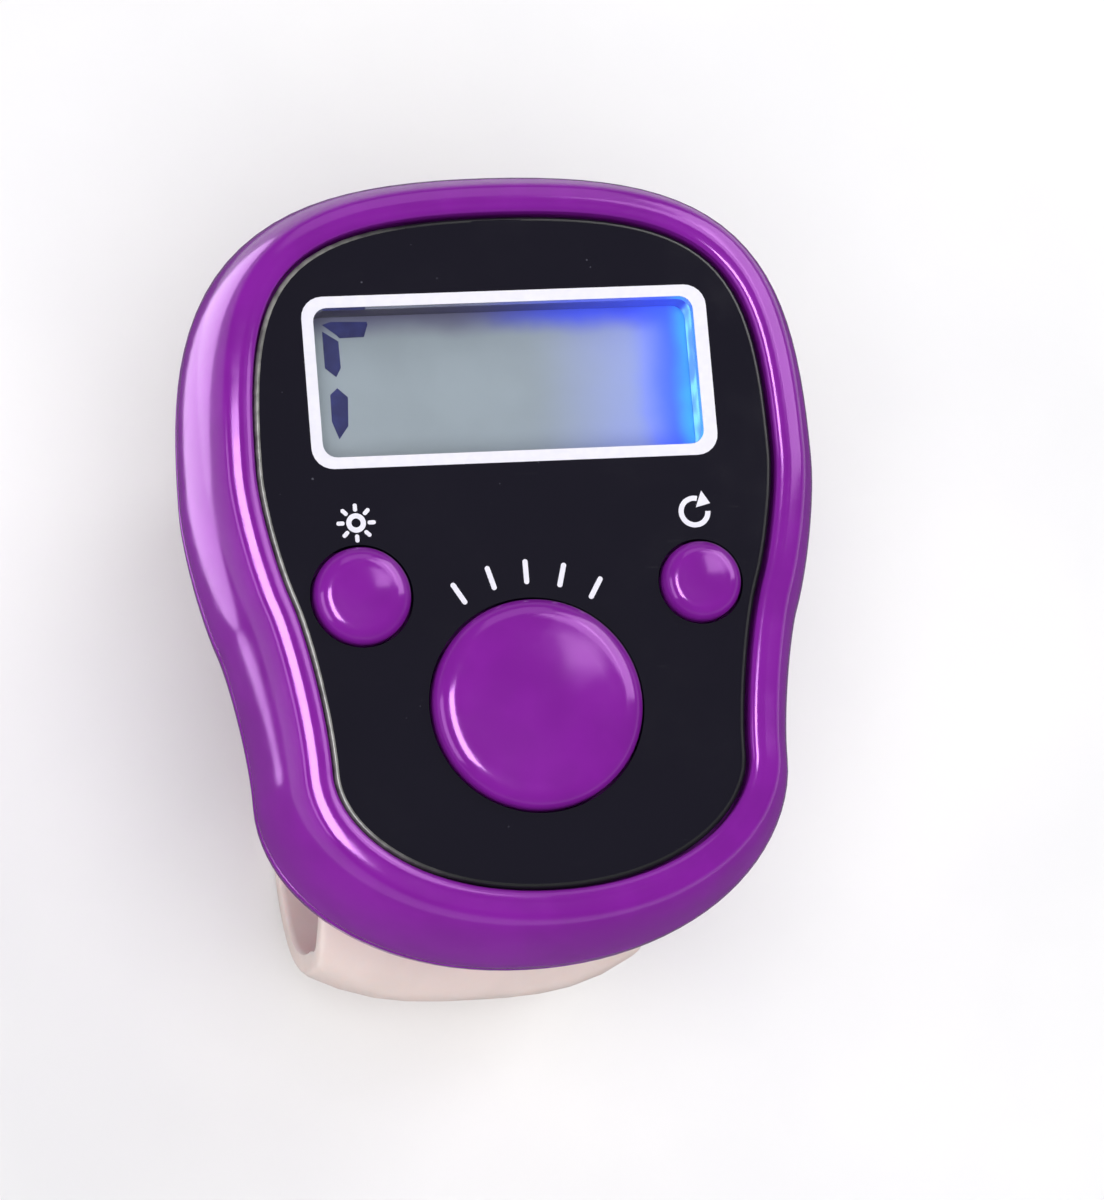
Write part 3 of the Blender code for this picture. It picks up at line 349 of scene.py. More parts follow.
def satin_polariser_on_glass(tree, place):
    """Liquid crystal glass under a satin polariser: grey-green, with the backlight's blue light painted into
    its colour and glow, and a painted shadow along the top edge.
    """
    x, y, _ = add(tree, "SeparateXYZ", (place,)).node.outputs
    waver = add(tree, "TexNoise", {"Vector": place, "Scale": 1 / 0.0025})
    reach = add(tree, "Math", (waver, 0.0008, x), operation="MULTIPLY_ADD")
    rise = add(tree, "Math", (waver, 0.0008, y), operation="MULTIPLY_ADD")
    # Painted light and shade: a lavender wash and a blue glow towards the lamp's end, and a painted shadow
    # under the top edge that turns blue near the lamp.
    lavender = add(tree, "MapRange", (reach, 0.0015, 0.008, 0.0, 0.9), **SMOOTH)
    at_end = add(tree, "MapRange", (reach, 0.0068, 0.0094, 0.0, 1.0), **SMOOTH)
    near_lamp = add(tree, "MapRange", (reach, -0.002, 0.0055, 0.0, 1.0), **SMOOTH)
    core = add(tree, "MapRange", (reach, 0.009, 0.0104, 0.0, 1.0), **SMOOTH)
    at_top = add(tree, "MapRange", (rise, WINDOW_Y + 0.0028, WINDOW_Y + 0.0042, 0.0, 1.0), **SMOOTH)
    base = mottled(tree, place, 0.004, 2.0, *shades(colours().display, 0.97, 1.04), 0.35, 0.65)
    washed = add(tree, "Mix", {0: lavender, 6: base, 7: "#a0ace4"}, 2, **IN_COLOUR)
    painted_top_shade = add(tree, "Mix", {0: near_lamp, 6: "#6a6a86", 7: "#4653e0"}, 2, **IN_COLOUR)
    shadowed = add(tree, "Mix", {0: at_top, 6: washed, 7: painted_top_shade}, 2, **IN_COLOUR)
    lit_end = add(tree, "Mix", {0: core, 6: "#4a6cff", 7: "#46b4ff"}, 2, **IN_COLOUR)
    beam = add(tree, "Math", (at_top, near_lamp), operation="MULTIPLY")
    beam = add(tree, "Math", (beam, at_end), operation="MAXIMUM")
    return {
        "IOR": 1.5,
        "Roughness": 0.3,
        "Specular IOR Level": 0.2,
        "Base Color": add(tree, "Mix", {0: at_end, 6: shadowed, 7: lit_end}, 2, **IN_COLOUR),
        "Emission Color": lit_end,
        "Emission Strength": add(tree, "Math", (beam, 0.22), operation="MULTIPLY"),
    }


def indigo_crystal_segment(tree, place):
    """A darkened liquid crystal segment: deep indigo, softly uneven."""
    colour = mottled(tree, place, 0.0006, 2.0, "#20225c", "#2c3072")
    return {"IOR": 1.5, "Roughness": 0.3, "Specular IOR Level": 0.2, "Base Color": colour}


def milky_moulded_tpu(tree, place):
    """Injection-moulded soft TPU: milky and translucent, satin, with a fine skin."""
    return {
        "IOR": 1.5,
        "Subsurface Weight": 0.45,
        "Subsurface Radius": (1.0, 0.72, 0.6),
        "Subsurface Scale": 0.0012,
        "Base Color": mottled(tree, place, 0.003, 3.0, *shades(colours().strap, 0.96, 1.0), 0.35, 0.65),
        "Roughness": patches(tree, place, 0.0015, 4.0, 0.35, 0.7, 0.34, 0.48),
        "Normal": relief(tree, place, 0.0003, 3.0, 0.000006),
    }


def moulded_silicone_rubber(tree, place):
    """Moulded silicone rubber: matt, pale grey, a little translucent."""
    colour = mottled(tree, place, 0.0008, 3.0, "#c6c6c1", "#d6d6d2")
    skin_relief = relief(tree, place, 0.0002, 2.0, 0.000006)
    return {"IOR": 1.43, "Roughness": 0.6, "Base Color": colour, "Normal": skin_relief}


def layered_contact_rubber(tree, place):
    """Layered contact strip: thin black carbon layers between pale silicone, 0.18 mm apart."""
    # A wave texture repeats every twentieth of a full turn, divided by its scale.
    layers = add(tree, "TexWave", {"Vector": place, "Scale": FULL_TURN / 20 / 0.00018}, "Fac")
    share = add(tree, "MapRange", (layers, 0.4, 0.6, 0.0, 1.0), **SMOOTH)
    colour = add(tree, "Mix", {0: share, 6: "#1b1b1c", 7: "#cfcfca"}, 2, **IN_COLOUR)
    return {"IOR": 1.43, "Roughness": 0.55, "Base Color": colour}


def milky_acrylic_guide(tree, place):
    """Milky acrylic light guide with moulded scattering dots 0.5 mm apart, faintly blue, with a faint painted
    blue glow for the lamp's light.
    """
    dots = add(tree, "TexVoronoi", {"Vector": place, "Scale": 1 / 0.0005, "Randomness": 0.0})
    share = add(tree, "MapRange", (dots, 0.2, 0.3, 0.0, 1.0), **SMOOTH)
    colour = add(tree, "Mix", {0: share, 6: "#ffffff", 7: "#e4e8f6"}, 2, **IN_COLOUR)
    glow = {"Emission Color": "#4a68ff", "Emission Strength": 0.15}
    return {"IOR": 1.49, "Roughness": 0.3, "Base Color": colour, **glow}


def green_solder_resist(tree, place):
    """Glass-fibre board under green solder resist, with copper tracks showing through it."""
    bricks = {"Vector": place, "Scale": 1 / 0.004, "Mortar Size": 0.04, "Mortar Smooth": 0.1}
    tracks = add(tree, "TexBrick", bricks, "Fac")
    resist = mottled(tree, place, 0.0004, 2.0, "#0f5a2a", "#136832", 0.35, 0.65)
    return {
        "IOR": 1.5,
        "Roughness": 0.3,
        "Base Color": add(tree, "Mix", {0: tracks, 6: resist, 7: "#2f8a4a"}, 2, **IN_COLOUR),
        "Normal": add(tree, "Bump", {"Height": tracks, "Distance": 0.00002, "Strength": 1.0}),
    }


def poured_black_epoxy(tree, place):
    """Poured black epoxy: a domed satin blob with small pits."""
    pits = patches(tree, place, 0.0006, 3.0)
    return {
        "IOR": 1.55,
        "Base Color": add(tree, "Mix", {0: pits, 6: "#0c0c0d", 7: "#17171a"}, 2, **IN_COLOUR),
        "Roughness": add(tree, "MapRange", (pits, 0.0, 1.0, 0.25, 0.45), **SMOOTH),
    }


def fired_tan_ceramic(tree, place):
    """Fired ceramic body: matt tan with a fine grain."""
    colour = mottled(tree, place, 0.0001, 3.0, "#a5815a", "#bd9a70")
    return {"IOR": 1.6, "Roughness": 0.55, "Base Color": colour}


def worn_metal(tree, place, grain, detail, roughness, first, second, low, high):
    """A bare metal whose grain is duller where it is paler."""
    settings = {"Vector": place, "Scale": 1 / grain, "Detail": detail, "Roughness": roughness}
    lines = add(tree, "TexNoise", settings)
    return {
        "Metallic": 1.0,
        "Base Color": add(tree, "Mix", {0: lines, 6: first, 7: second}, 2, **IN_COLOUR),
        "Roughness": add(tree, "MapRange", (lines, 0.3, 0.7, low, high), **SMOOTH),
    }


def nickel_plated_steel(tree, place):
    """Nickel-plated steel: pale metal with a fine grain, drawn 0.2 mm coarse so that it shows."""
    return worn_metal(tree, place, 0.0002, 4.0, 0.7, "#b5b4b0", "#d0cfca", 0.18, 0.34)


def tinned_spring_brass(tree, place):
    """Tin-plated spring brass: warm pale metal, with lines along the way it was rolled."""
    rolled = add(tree, "Mapping", {"Vector": place, "Scale": (1.0, 12.0, 1.0)})
    return worn_metal(tree, rolled, 0.0008, 3.0, 0.5, "#b3a273", "#d9cfae", 0.22, 0.38)


def dull_adhesive_film(tree, place):
    """Double-sided adhesive film: a dull, slightly yellow white."""
    colour = mottled(tree, place, 0.002, 3.0, "#d8d4c6", "#e6e3d8")
    return {"IOR": 1.47, "Roughness": 0.6, "Base Color": colour}


def lit_blue_epoxy(tree, place):
    """The clear-blue epoxy of a small light-emitting diode, lit."""
    colour = mottled(tree, place, 0.0005, 2.0, "#8fb0ff", "#c8dcff")
    glow = {"Emission Color": "#4f7dff", "Emission Strength": 2.0}
    return {"IOR": 1.5, "Roughness": 0.2, "Base Color": colour, **glow}


def matt_white_board(tree, place):
    """White board under the counter: matt, with a faint fibre."""
    colour = mottled(tree, place, 0.02, 3.0, "#f2f2f3", "#f6f6f6")
    return {"Roughness": 0.75, "Specular IOR Level": 0.2, "Base Color": colour}


def matt_grey_card(tree, place):
    """Grey card: matt, with a faint fibre."""
    colour = mottled(tree, place, 0.01, 3.0, "#626262", "#6a6a6a")
    return {"Roughness": 0.9, "Specular IOR Level": 0.1, "Base Color": colour}


# Shapes


def cubic(points, share):
    """A cubic stretch's point and direction at a share of its length."""
    a, b, c, d = points
    rest = 1 - share
    point = a * rest**3 + b * (3 * rest * rest * share) + c * (3 * rest * share * share) + d * share**3
    along = (b - a) * rest * rest + (c - b) * 2 * rest * share + (d - c) * share * share
    return point, along.normalized()


def outline():
    """Points of the panel's edge with their outward directions, clockwise from the top centre."""
    form = bpy.context.scene.counter_outline
    lean = Vector((-form.waist_lean, -1.0)).normalized()
    down = Vector((0.0, -1.0))
    across = Vector((1.0, 0.0))
    top = Vector((0.0, form.half_length))
    widest = Vector((form.half_width, form.widest_y))
    waist = Vector((form.waist_half_width, form.waist_y))
    chin = Vector((form.chin_half_width, form.chin_y))
    bottom = Vector((0.0, -form.half_length))
    stretches = (
        (top, top + across * form.crown_pull, widest - down * form.shoulder_pull, widest),
        (widest, widest + down * form.waist_pull, waist - lean * form.waist_pull, waist),
        (waist, waist + lean * form.waist_pull, chin - down * form.chin_pull, chin),
        (chin, chin + down * form.chin_pull, bottom + across * form.bottom_pull, bottom),
    )
    right = []
    for stretch, count in zip(stretches, OUTLINE_STEPS):
        right += [cubic(stretch, step / count) for step in range(count)]
    right.append((bottom, -across))
    right = [(point, Vector((-along.y, along.x))) for point, along in right]
    left = [(Vector((-point.x, point.y)), Vector((-out.x, out.y))) for point, out in reversed(right[1:-1])]
    return right + left


def lofted(count, stations, place):
    """A closed solid through a ring of count points at each station, put there by place(number, station)."""
    bm = bmesh.new()
    mark = bm.verts.layers.int.new("column")
    verts = bmesh.ops.create_circle(bm, segments=count, radius=1.0)["verts"]
    for number, vert in enumerate(verts):
        vert[mark] = number
    lowest = edges = list(bm.edges)
    for index, station in enumerate(stations):
        if index:
            grown = bmesh.ops.extrude_edge_only(bm, edges=edges)["geom"]
            verts = [part for part in grown if isinstance(part, bmesh.types.BMVert)]
            fresh = set(verts)
            edges = [part for part in grown if isinstance(part, bmesh.types.BMEdge)]
            edges = [edge for edge in edges if fresh.issuperset(edge.verts)]
        for vert in verts:
            vert.co = place(vert[mark], station)
    bmesh.ops.holes_fill(bm, edges=lowest + edges, sides=0)
    bmesh.ops.recalc_face_normals(bm, faces=bm.faces)
    return bm


def skin(rings):
    """A closed solid round the outline: each ring is (how far outside the panel's edge, height)."""
    columns = outline()

    def place(number, ring):
        point, outward = columns[number]
        return (*(point + outward * ring[0]), ring[1])

    return lofted(len(columns), rings, place)


def turned(profile, steps=96, closed=False, turn=FULL_TURN):
    """A shape turned about the Z axis: (radius, z) pairs, from axis to axis unless the profile is closed."""
    bm = bmesh.new()
    verts = [bm.verts.new((radius, 0.0, z)) for radius, z in profile]
    after = verts[1:] + verts[:1] if closed else verts[1:]
    edges = [bm.edges.new(pair) for pair in zip(verts, after)]
    whole = math.isclose(turn, FULL_TURN)
    bmesh.ops.spin(
        bm, geom=verts + edges, cent=(0, 0, 0), axis=(0, 0, 1), dvec=(0, 0, 0),
        angle=turn, steps=steps, use_merge=whole, use_duplicate=False,
    )
    bmesh.ops.remove_doubles(bm, verts=bm.verts, dist=1e-8)
    if not whole:
        bmesh.ops.holes_fill(bm, edges=[edge for edge in bm.edges if edge.is_boundary], sides=0)
    bmesh.ops.recalc_face_normals(bm, faces=bm.faces)
    return bm


def block(low, high, corner=0.0, edge=0.0):
    """A box between two corners, its upright edges rounded by corner and the others by edge."""
    bm = bmesh.new()
    bmesh.ops.create_cube(bm, size=1.0)
    bmesh.ops.scale(bm, verts=bm.verts, vec=Vector(high) - Vector(low))
    bmesh.ops.translate(bm, verts=bm.verts, vec=(Vector(low) + Vector(high)) / 2)
    for offset, upright in ((corner, True), (edge, False)):
        if offset:
            chosen = []
            for one in bm.edges:
                rises = abs(one.verts[0].co.z - one.verts[1].co.z) > 1e-7
                if rises == upright and (upright or one.calc_face_angle() > 1):
                    chosen.append(one)
            bmesh.ops.bevel(
                bm, geom=chosen, offset=offset, offset_type="OFFSET", segments=6 if upright else 3,
                profile=0.5, affect="EDGES", material=-1,
            )
    return bm


def rod(centre, radius, low, high, steps=64):
    """An upright cylinder, whose ends are one face each, so that cuts on the same axis meet no spokes."""
    bm = bmesh.new()
    bmesh.ops.create_cone(
        bm, cap_ends=True, cap_tris=False, segments=steps, radius1=radius, radius2=radius, depth=high - low,
        matrix=Matrix.Translation((centre[0], centre[1], (low + high) / 2)),
    )
    return bm


def plate(corners, low, high):
    """A flat shape with these corners, between two heights."""
    bm = bmesh.new()
    face = bm.faces.new([bm.verts.new((x, y, low)) for x, y in corners])
    grown = bmesh.ops.extrude_face_region(bm, geom=[face])["geom"]
    upper = [part for part in grown if isinstance(part, bmesh.types.BMVert)]
    bmesh.ops.translate(bm, verts=upper, vec=(0, 0, high - low))
    bmesh.ops.recalc_face_normals(bm, faces=bm.faces)
    return bm


def moved(shape, x, y, z=0.0, turn=0.0):
    """Turns a shape about the Z axis and carries it to a place."""
    place = Matrix.Translation((x, y, z)) @ Matrix.Rotation(turn, 4, "Z")
    bmesh.ops.transform(shape, matrix=place, verts=shape.verts)
    return shape


def gathered(shapes):
    """Several shapes as one."""
    whole = bmesh.new()
    for shape in shapes:
        carrier = bpy.data.meshes.new("carrier")
        shape.to_mesh(carrier)
        shape.free()
        whole.from_mesh(carrier)
        bpy.data.meshes.remove(carrier)
    return whole


def shown(name, bm, maker):
    """An object of one material in the scene, made from a shape."""
    mesh = bpy.data.meshes.new(name)
    bm.to_mesh(mesh)
    bm.free()
    mesh.materials.append(finish(maker))
    made = bpy.data.objects.new(name, mesh)
    bpy.context.scene.collection.objects.link(made)
    return made


def shade(mesh, sharp):
    mesh.shade_smooth()
    mesh.set_sharp_from_angle(angle=math.radians(sharp))


def piece(name, bm, maker, slot, replaced=(), body="case", sharp=32):
    """A finished piece of the counter, which rides on a body and stands for CAD nodes."""
    made = shown(name, bm, maker)
    shade(made.data, sharp)
    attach(made, body)
    if replaced:
        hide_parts(*replaced)
    return made


def carve(target, *shapes, join=False, sharp=32):
    """Cuts shapes out of a piece, or joins them on."""
    mesh = bpy.data.meshes.new("tool")
    whole = gathered(shapes)
    whole.to_mesh(mesh)
    whole.free()
    tool = bpy.data.objects.new("tool", mesh)
    bpy.context.scene.collection.objects.link(tool)
    modifier = target.modifiers.new("carve", "BOOLEAN")
    modifier.operation = "UNION" if join else "DIFFERENCE"
    modifier.solver = "EXACT"
    modifier.object = tool
    graph = bpy.context.evaluated_depsgraph_get()
    result = bpy.data.meshes.new_from_object(target.evaluated_get(graph), depsgraph=graph)
    if not result.polygons:
        raise RuntimeError(f"{target.name}: the cut left nothing")
    # Edges far shorter than anything that shows are what a cut leaves where two edges nearly meet.
    tidy = bmesh.new()
    tidy.from_mesh(result)
    bmesh.ops.dissolve_degenerate(tidy, dist=2e-7, edges=tidy.edges)
    tidy.to_mesh(result)
    tidy.free()
    target.modifiers.clear()
    old = target.data
    target.data = result
    result.name = target.name
    bpy.data.meshes.remove(old)
    bpy.data.objects.remove(tool)
    bpy.data.meshes.remove(mesh)
    shade(result, sharp)


def settle_normals(target):
    """Keeps the large flat faces flat and leaves the turn of the light to the small faces between them."""
    modifier = target.modifiers.new("settle_normals", "WEIGHTED_NORMAL")
    modifier.keep_sharp = True
    modifier.weight = 80


def paint(target, maker, test):
    """Gives the faces that pass a test another material."""
    target.data.materials.append(finish(maker))
    index = len(target.data.materials) - 1
    for face in target.data.polygons:
        if test(face):
            face.material_index = index


def keys():
    """Name, axis, radius, crown height above the panel, dome radius and travel of each key."""
    size = sizes()
    return [
        (name, axis_of(f"{name}_button"), radius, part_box(f"{name}_button")[1].z - PANEL_TOP, dome, travel)
        for name, radius, dome, travel in (
            ("count", size.count_radius, 0.003, 0.0008),
            ("light", size.light_radius, 0.0017, 0.0005),
            ("reset", size.reset_radius, 0.0017, 0.0005),
        )
    ]


def key_holes(gap, low, high):
    """Rods in the places of the keys, wider by a gap."""
    return [rod(at, radius + gap, low, high, 96) for _, at, radius, *_ in keys()]


def window_block(grow, low, high, corner=0.0007):
    """The window's shape grown by grow, between two heights."""
    return block(
        (-WINDOW_HALF_WIDTH - grow, WINDOW_Y - WINDOW_HALF_HEIGHT - grow, low),
        (WINDOW_HALF_WIDTH + grow, WINDOW_Y + WINDOW_HALF_HEIGHT + grow, high),
        corner,
    )


def in_window(face):
    """Whether a face is one of the window's side walls."""
    spot = face.center
    return (
        abs(face.normal.z) < 0.5 and abs(spot.x) < WINDOW_HALF_WIDTH + HAIR
        and abs(spot.y - WINDOW_Y) < WINDOW_HALF_HEIGHT + HAIR
    )


def side_offset(z):
    """How far the case's side stands out at a height below its widest line: a quarter ellipse."""
    widest = PANEL_TOP - sizes().widest_depth
    depth = (widest - z) / (widest - BACK_Z)
    return sizes().rim_width * math.sqrt(max(1 - depth * depth, 0.0))


def quarter(start, end, steps, upright_first=True):
    """Points of a quarter ellipse between two (radius, z) points, without the first."""
    found = []
    for step in range(1, steps + 1):
        turn = step / steps * math.pi / 2
        shares = (1 - math.cos(turn), math.sin(turn))
        if not upright_first:
            shares = (math.sin(turn), 1 - math.cos(turn))
        found.append((start[0] + (end[0] - start[0]) * shares[0], start[1] + (end[1] - start[1]) * shares[1]))
    return found


# Operators


class COUNTER_OT_front_case(bpy.types.Operator):
    """Front case: the rounded rim with its inner lip, the deck with its openings, bosses and display ribs"""

    bl_idname = "counter.front_case"
    bl_label = "Front Case"

    def execute(self, context):
        size = sizes()
        crest = PANEL_TOP + size.rim_rise
        widest = PANEL_TOP - size.widest_depth
        seam = size.seam_round
        start = side_offset(PARTING_Z)
        rings = [(start - seam, PARTING_Z), (start - seam * 0.3, PARTING_Z + seam * 0.3)]
        for step in range(1, 5):
            z = PARTING_Z + seam + (widest - PARTING_Z - seam) * step / 5
            rings.append((side_offset(z), z))
        # The side rises on a full curve as far as the shoulder of the crest.
        steps = 16
        last = math.radians(70.9)
        for step in range(steps + 1):
            turn = step / steps * last
            across = math.cos(turn) ** (2 / size.rim_fullness)
            rise = math.sin(turn) ** (2 / size.rim_fullness)
            rings.append((
                size.crest_offset + (size.rim_width - size.crest_offset) * across,
                widest + (crest - widest) * rise,
            ))
        shoulder = rings[-1][0]
        rings += [(shoulder - inward, crest - drop) for inward, drop in CREST_CURVE]
        # The inner slope rolls over to the lip beside the panel.
        rings += quarter(rings[-1], (EDGE_GAP, crest - 0.00028), steps, upright_first=False)
        rings.append((EDGE_GAP, RECESS_Z))
        shell = piece("front_shell", skin(rings), gloss_moulded_abs, "purple_plastic", ["front_case"])

        inner = size.rim_width - size.wall
        carve(shell, skin([
            (inner, PARTING_Z - CUT_MARGIN), (inner, DECK_Z - 0.0006), (inner - 0.0002, DECK_Z - 0.0002),
            (inner - 0.0006, DECK_Z),
        ]))
        middle = DECK_Z + 0.0005
        start = POST_TOP_Z + STACK_GAP
        carve(shell, *[rod(at, FRONT_POST_RADIUS, start, middle) for at in CASE_SCREWS], join=True)
        carve(shell, *[rod(at, 0.00125, GUIDE_Z, middle) for at in BOARD_SCREWS], join=True)
        # Ribs round the display glass.
        for grow, low, high, join in (
            (EDGE_GAP + 0.0008, GUIDE_Z, middle, True),
            (EDGE_GAP, GUIDE_Z - CUT_MARGIN, DECK_Z, False),
        ):
            first = (GLASS_LOW.x - grow, GLASS_LOW.y - grow, low)
            last = (GLASS_HIGH.x + grow, GLASS_HIGH.y + grow, high)
            carve(shell, block(first, last), join=join)
        carve(shell, window_block(0.00026, middle, PANEL_LOW - 0.00002, 0.0009), join=True)
        low = DECK_Z - CUT_MARGIN
        openings = key_holes(EDGE_GAP, low, RECESS_Z + CUT_MARGIN)
        carve(shell, window_block(0.0, low, PANEL_LOW + CUT_MARGIN), *openings)
        pilots = [rod(at, PILOT_RADIUS, POST_TOP_Z - CUT_MARGIN, BACK_Z + 0.0074, 32) for at in CASE_SCREWS]
        pilots += [rod(at, 0.00055, BOARD_TOP - CUT_MARGIN, BOARD_LOW + 0.0023, 32) for at in BOARD_SCREWS]
        carve(shell, *pilots)

        def in_deck_window(face):
            return DECK_Z - HAIR < face.center.z < PANEL_LOW and in_window(face)

        # The window's walls in the deck take the painted backlight, painted shade and painted glow.
        paint(shell, abs_with_painted_backlight_and_shade, in_deck_window)
        settle_normals(shell)
        return {"FINISHED"}


class COUNTER_OT_back_case(bpy.types.Operator):
    """Back case: the rounded tray with the battery well, screw posts, strap slot and strap peg"""

    bl_idname = "counter.back_case"
    bl_label = "Back Case"

    def execute(self, context):
        size = sizes()
        seam = size.seam_round
        top = PARTING_Z - STACK_GAP
        rings = []
        steps = 16
        for step in range(steps + 1):
            z = BACK_Z + (top - seam - BACK_Z) * (1 - math.cos(step / steps * math.pi / 2))
            rings.append((side_offset(z), z))
        edge = side_offset(top)
        lip = size.rim_width - size.wall - EDGE_GAP
        rings += [(edge - seam * 0.3, top - seam * 0.3), (edge - seam, top)]
        rings += [(lip, top), (lip, LIP_TOP_Z - 0.0001), (lip - 0.0001, LIP_TOP_Z)]
        tray = piece("back_shell", skin(rings), gloss_moulded_abs, "purple_plastic", ["back_case"])
        inner = lip - 0.00075
        floor = BACK_Z + 0.0013
        rounding = 0.0013
        cavity = [(inner - rounding, floor)]
        cavity += quarter((inner - rounding, floor), (inner, floor + rounding), 6, upright_first=False)
        cavity.append((inner, LIP_TOP_Z + CUT_MARGIN))
        carve(tray, skin(cavity))

        half = BACK_Z + 0.00065
        below = BACK_Z - CUT_MARGIN
        # The lip gives way to the front case's posts before the back case's own posts rise under them.
        carve(tray, *[rod(at, 0.0018, POST_TOP_Z - CUT_MARGIN, LIP_TOP_Z + CUT_MARGIN) for at in CASE_SCREWS])
        carve(tray, rod(DOOR_AXIS, RING_RADIUS, half, GROOVE_TOP_Z + 0.0009, 96), join=True)
        carve(tray, rod(DOOR_AXIS, WELL_WALL_RADIUS, half, WELL_TOP_Z, 96), join=True)
        carve(tray, *[rod(at, BACK_POST_RADIUS, half, POST_TOP_Z) for at in CASE_SCREWS], join=True)
        carve(tray, rod(DOOR_AXIS, WELL_RADIUS, DOOR_TOP, WELL_TOP_Z + CUT_MARGIN, 96))
        carve(tray, rod(DOOR_AXIS, GROOVE_RADIUS, BACK_Z + 0.0006, GROOVE_TOP_Z, 96))
        mouth = [
            (0, BACK_Z + 0.00072), (MOUTH_RADIUS, BACK_Z + 0.00072), (MOUTH_RADIUS, BACK_Z + 0.00012),
            (MOUTH_RADIUS + 0.00014, BACK_Z), (MOUTH_RADIUS + 0.00014, below), (0, below),
        ]
        carve(tray, moved(turned(mouth), *DOOR_AXIS))
        notch = block((-GROOVE_RADIUS, -0.00135, below), (GROOVE_RADIUS, 0.00135, BACK_Z + 0.00066), 0.0003)
        carve(tray, moved(notch, *DOOR_AXIS, turn=-math.radians(45)))
        contact_half = 0.00165
        carve(tray, block(
            (0.0, DOOR_AXIS[1] - contact_half, DOOR_TOP),
            (WELL_RADIUS + HAIR, DOOR_AXIS[1] + contact_half, WELL_TOP_Z + CUT_MARGIN),
        ))
        depth = size.strap_thickness / 2 + EDGE_GAP
        half_width = size.strap_half_width + EDGE_GAP
        carve(tray, block(
            (-half_width, SLOT_Y - depth, below), (half_width, SLOT_Y + depth, BACK_Z + 0.0023), 0.0004
        ))
        seat = BACK_Z + 0.0014
        wide = 0.00175
        chamfer = wide + 0.00013
        above = POST_TOP_Z + CUT_MARGIN
        sink = [
            (0, above), (PILOT_RADIUS, above), (PILOT_RADIUS, seat), (wide, seat),
            (wide, BACK_Z + 0.0001), (chamfer, BACK_Z - 0.00003), (chamfer, below), (0, below),
        ]
        carve(tray, *[moved(turned(sink, 64), *at) for at in CASE_SCREWS])
        head = BACK_Z - size.strap_thickness - 2 * STACK_GAP
        stem = 0.0011
        peg = [(0, half), (stem, half), (stem, head), (0.0017, head)]
        peg += quarter((0.0017, head), (0.0019, head - 0.0002), 3, upright_first=False)
        peg += quarter((0.0019, head - 0.0003), (0.0013, head - 0.0007), 5)
        peg.append((0, head - 0.0007))
        carve(tray, moved(turned(peg, 64), 0.0, PEG_Y), join=True)
        settle_normals(tray)
        return {"FINISHED"}


class COUNTER_OT_face(bpy.types.Operator):
    """Face panel with its clear edge, its adhesive film and the window's pane"""

    bl_idname = "counter.face"
    bl_label = "Face Panel and Window"

    def execute(self, context):
        margin = sizes().panel_edge
        bend = PANEL_TOP - 0.0002
        rings = [(-0.00004, PANEL_LOW), (0.0, PANEL_LOW + 0.00004), (0.0, bend)]
        rings += quarter((0.0, bend), (-margin * 0.7, PANEL_TOP), 5)
        rings.append((-margin, PANEL_TOP))
        sheet = skin(rings)
        panel = piece("face_plate", sheet, black_printed_acrylic, "black_face", ["face_panel"], sharp=50)
        low = PANEL_LOW - CUT_MARGIN
        high = PANEL_TOP + CUT_MARGIN
        carve(panel, window_block(0.0, low, high), *key_holes(EDGE_GAP, low, high), sharp=50)
        columns = [point for point, _ in outline()]
        reach = margin + 0.00042

        def at_edge(face):
            spot = face.center.xy
            on_top = face.normal.z > 0.999 and abs(face.center.z - PANEL_TOP) < 1e-6 and face.area > 1e-6
            return min((spot - point).length for point in columns) < reach and not on_top

        paint(panel, clear_cut_acrylic_edge, at_edge)
        # The panel's cut window walls take the painted backlight, painted shade and painted glow.
        paint(panel, abs_with_painted_backlight_and_shade, in_window)
        settle_normals(panel)

        low = RECESS_Z + STACK_GAP
        sheet = skin([(-0.0003, low), (-0.0003, low + 0.0002)])
        film = piece("adhesive_sheet", sheet, dull_adhesive_film, "adhesive_film", ["panel_adhesive"])
        high = low + CUT_MARGIN
        low -= CUT_MARGIN
        carve(film, window_block(0.0003, low, high, 0.001), *key_holes(0.00045, low, high))

        pane = window_block(-HAIR, PANEL_LOW, PANEL_TOP, 0.00069)
        lens = piece("window_pane", pane, polished_clear_acrylic, "clear_lens", ["window_lens"])
        unseen(lens, "shadow", "diffuse")
        return {"FINISHED"}


def bar(start, end, width, low, high):
    """A straight printed stroke with rounded ends."""
    along = end - start
    half = width / 2
    stroke = block((-half, -half, low), (along.length + half, half, high), half * 0.95)
    return moved(stroke, start.x, start.y, turn=math.atan2(along.y, along.x))


def rays(centre, turns, inner, outer, width, low, high):
    """Strokes that point away from a centre."""
    found = []
    for turn in turns:
        ray = Vector((math.cos(turn), math.sin(turn)))
        found.append(bar(Vector(centre) + ray * inner, Vector(centre) + ray * outer, width, low, high))
    return found


def arc(centre, radius, width, low, high, start=0.0, turn=FULL_TURN):
    """A printed ring or arc."""
    inner = radius - width / 2
    outer = radius + width / 2
    section = [(inner, low), (outer, low), (outer, high), (inner, high)]
    return moved(turned(section, 48, True, turn), *centre, turn=start)


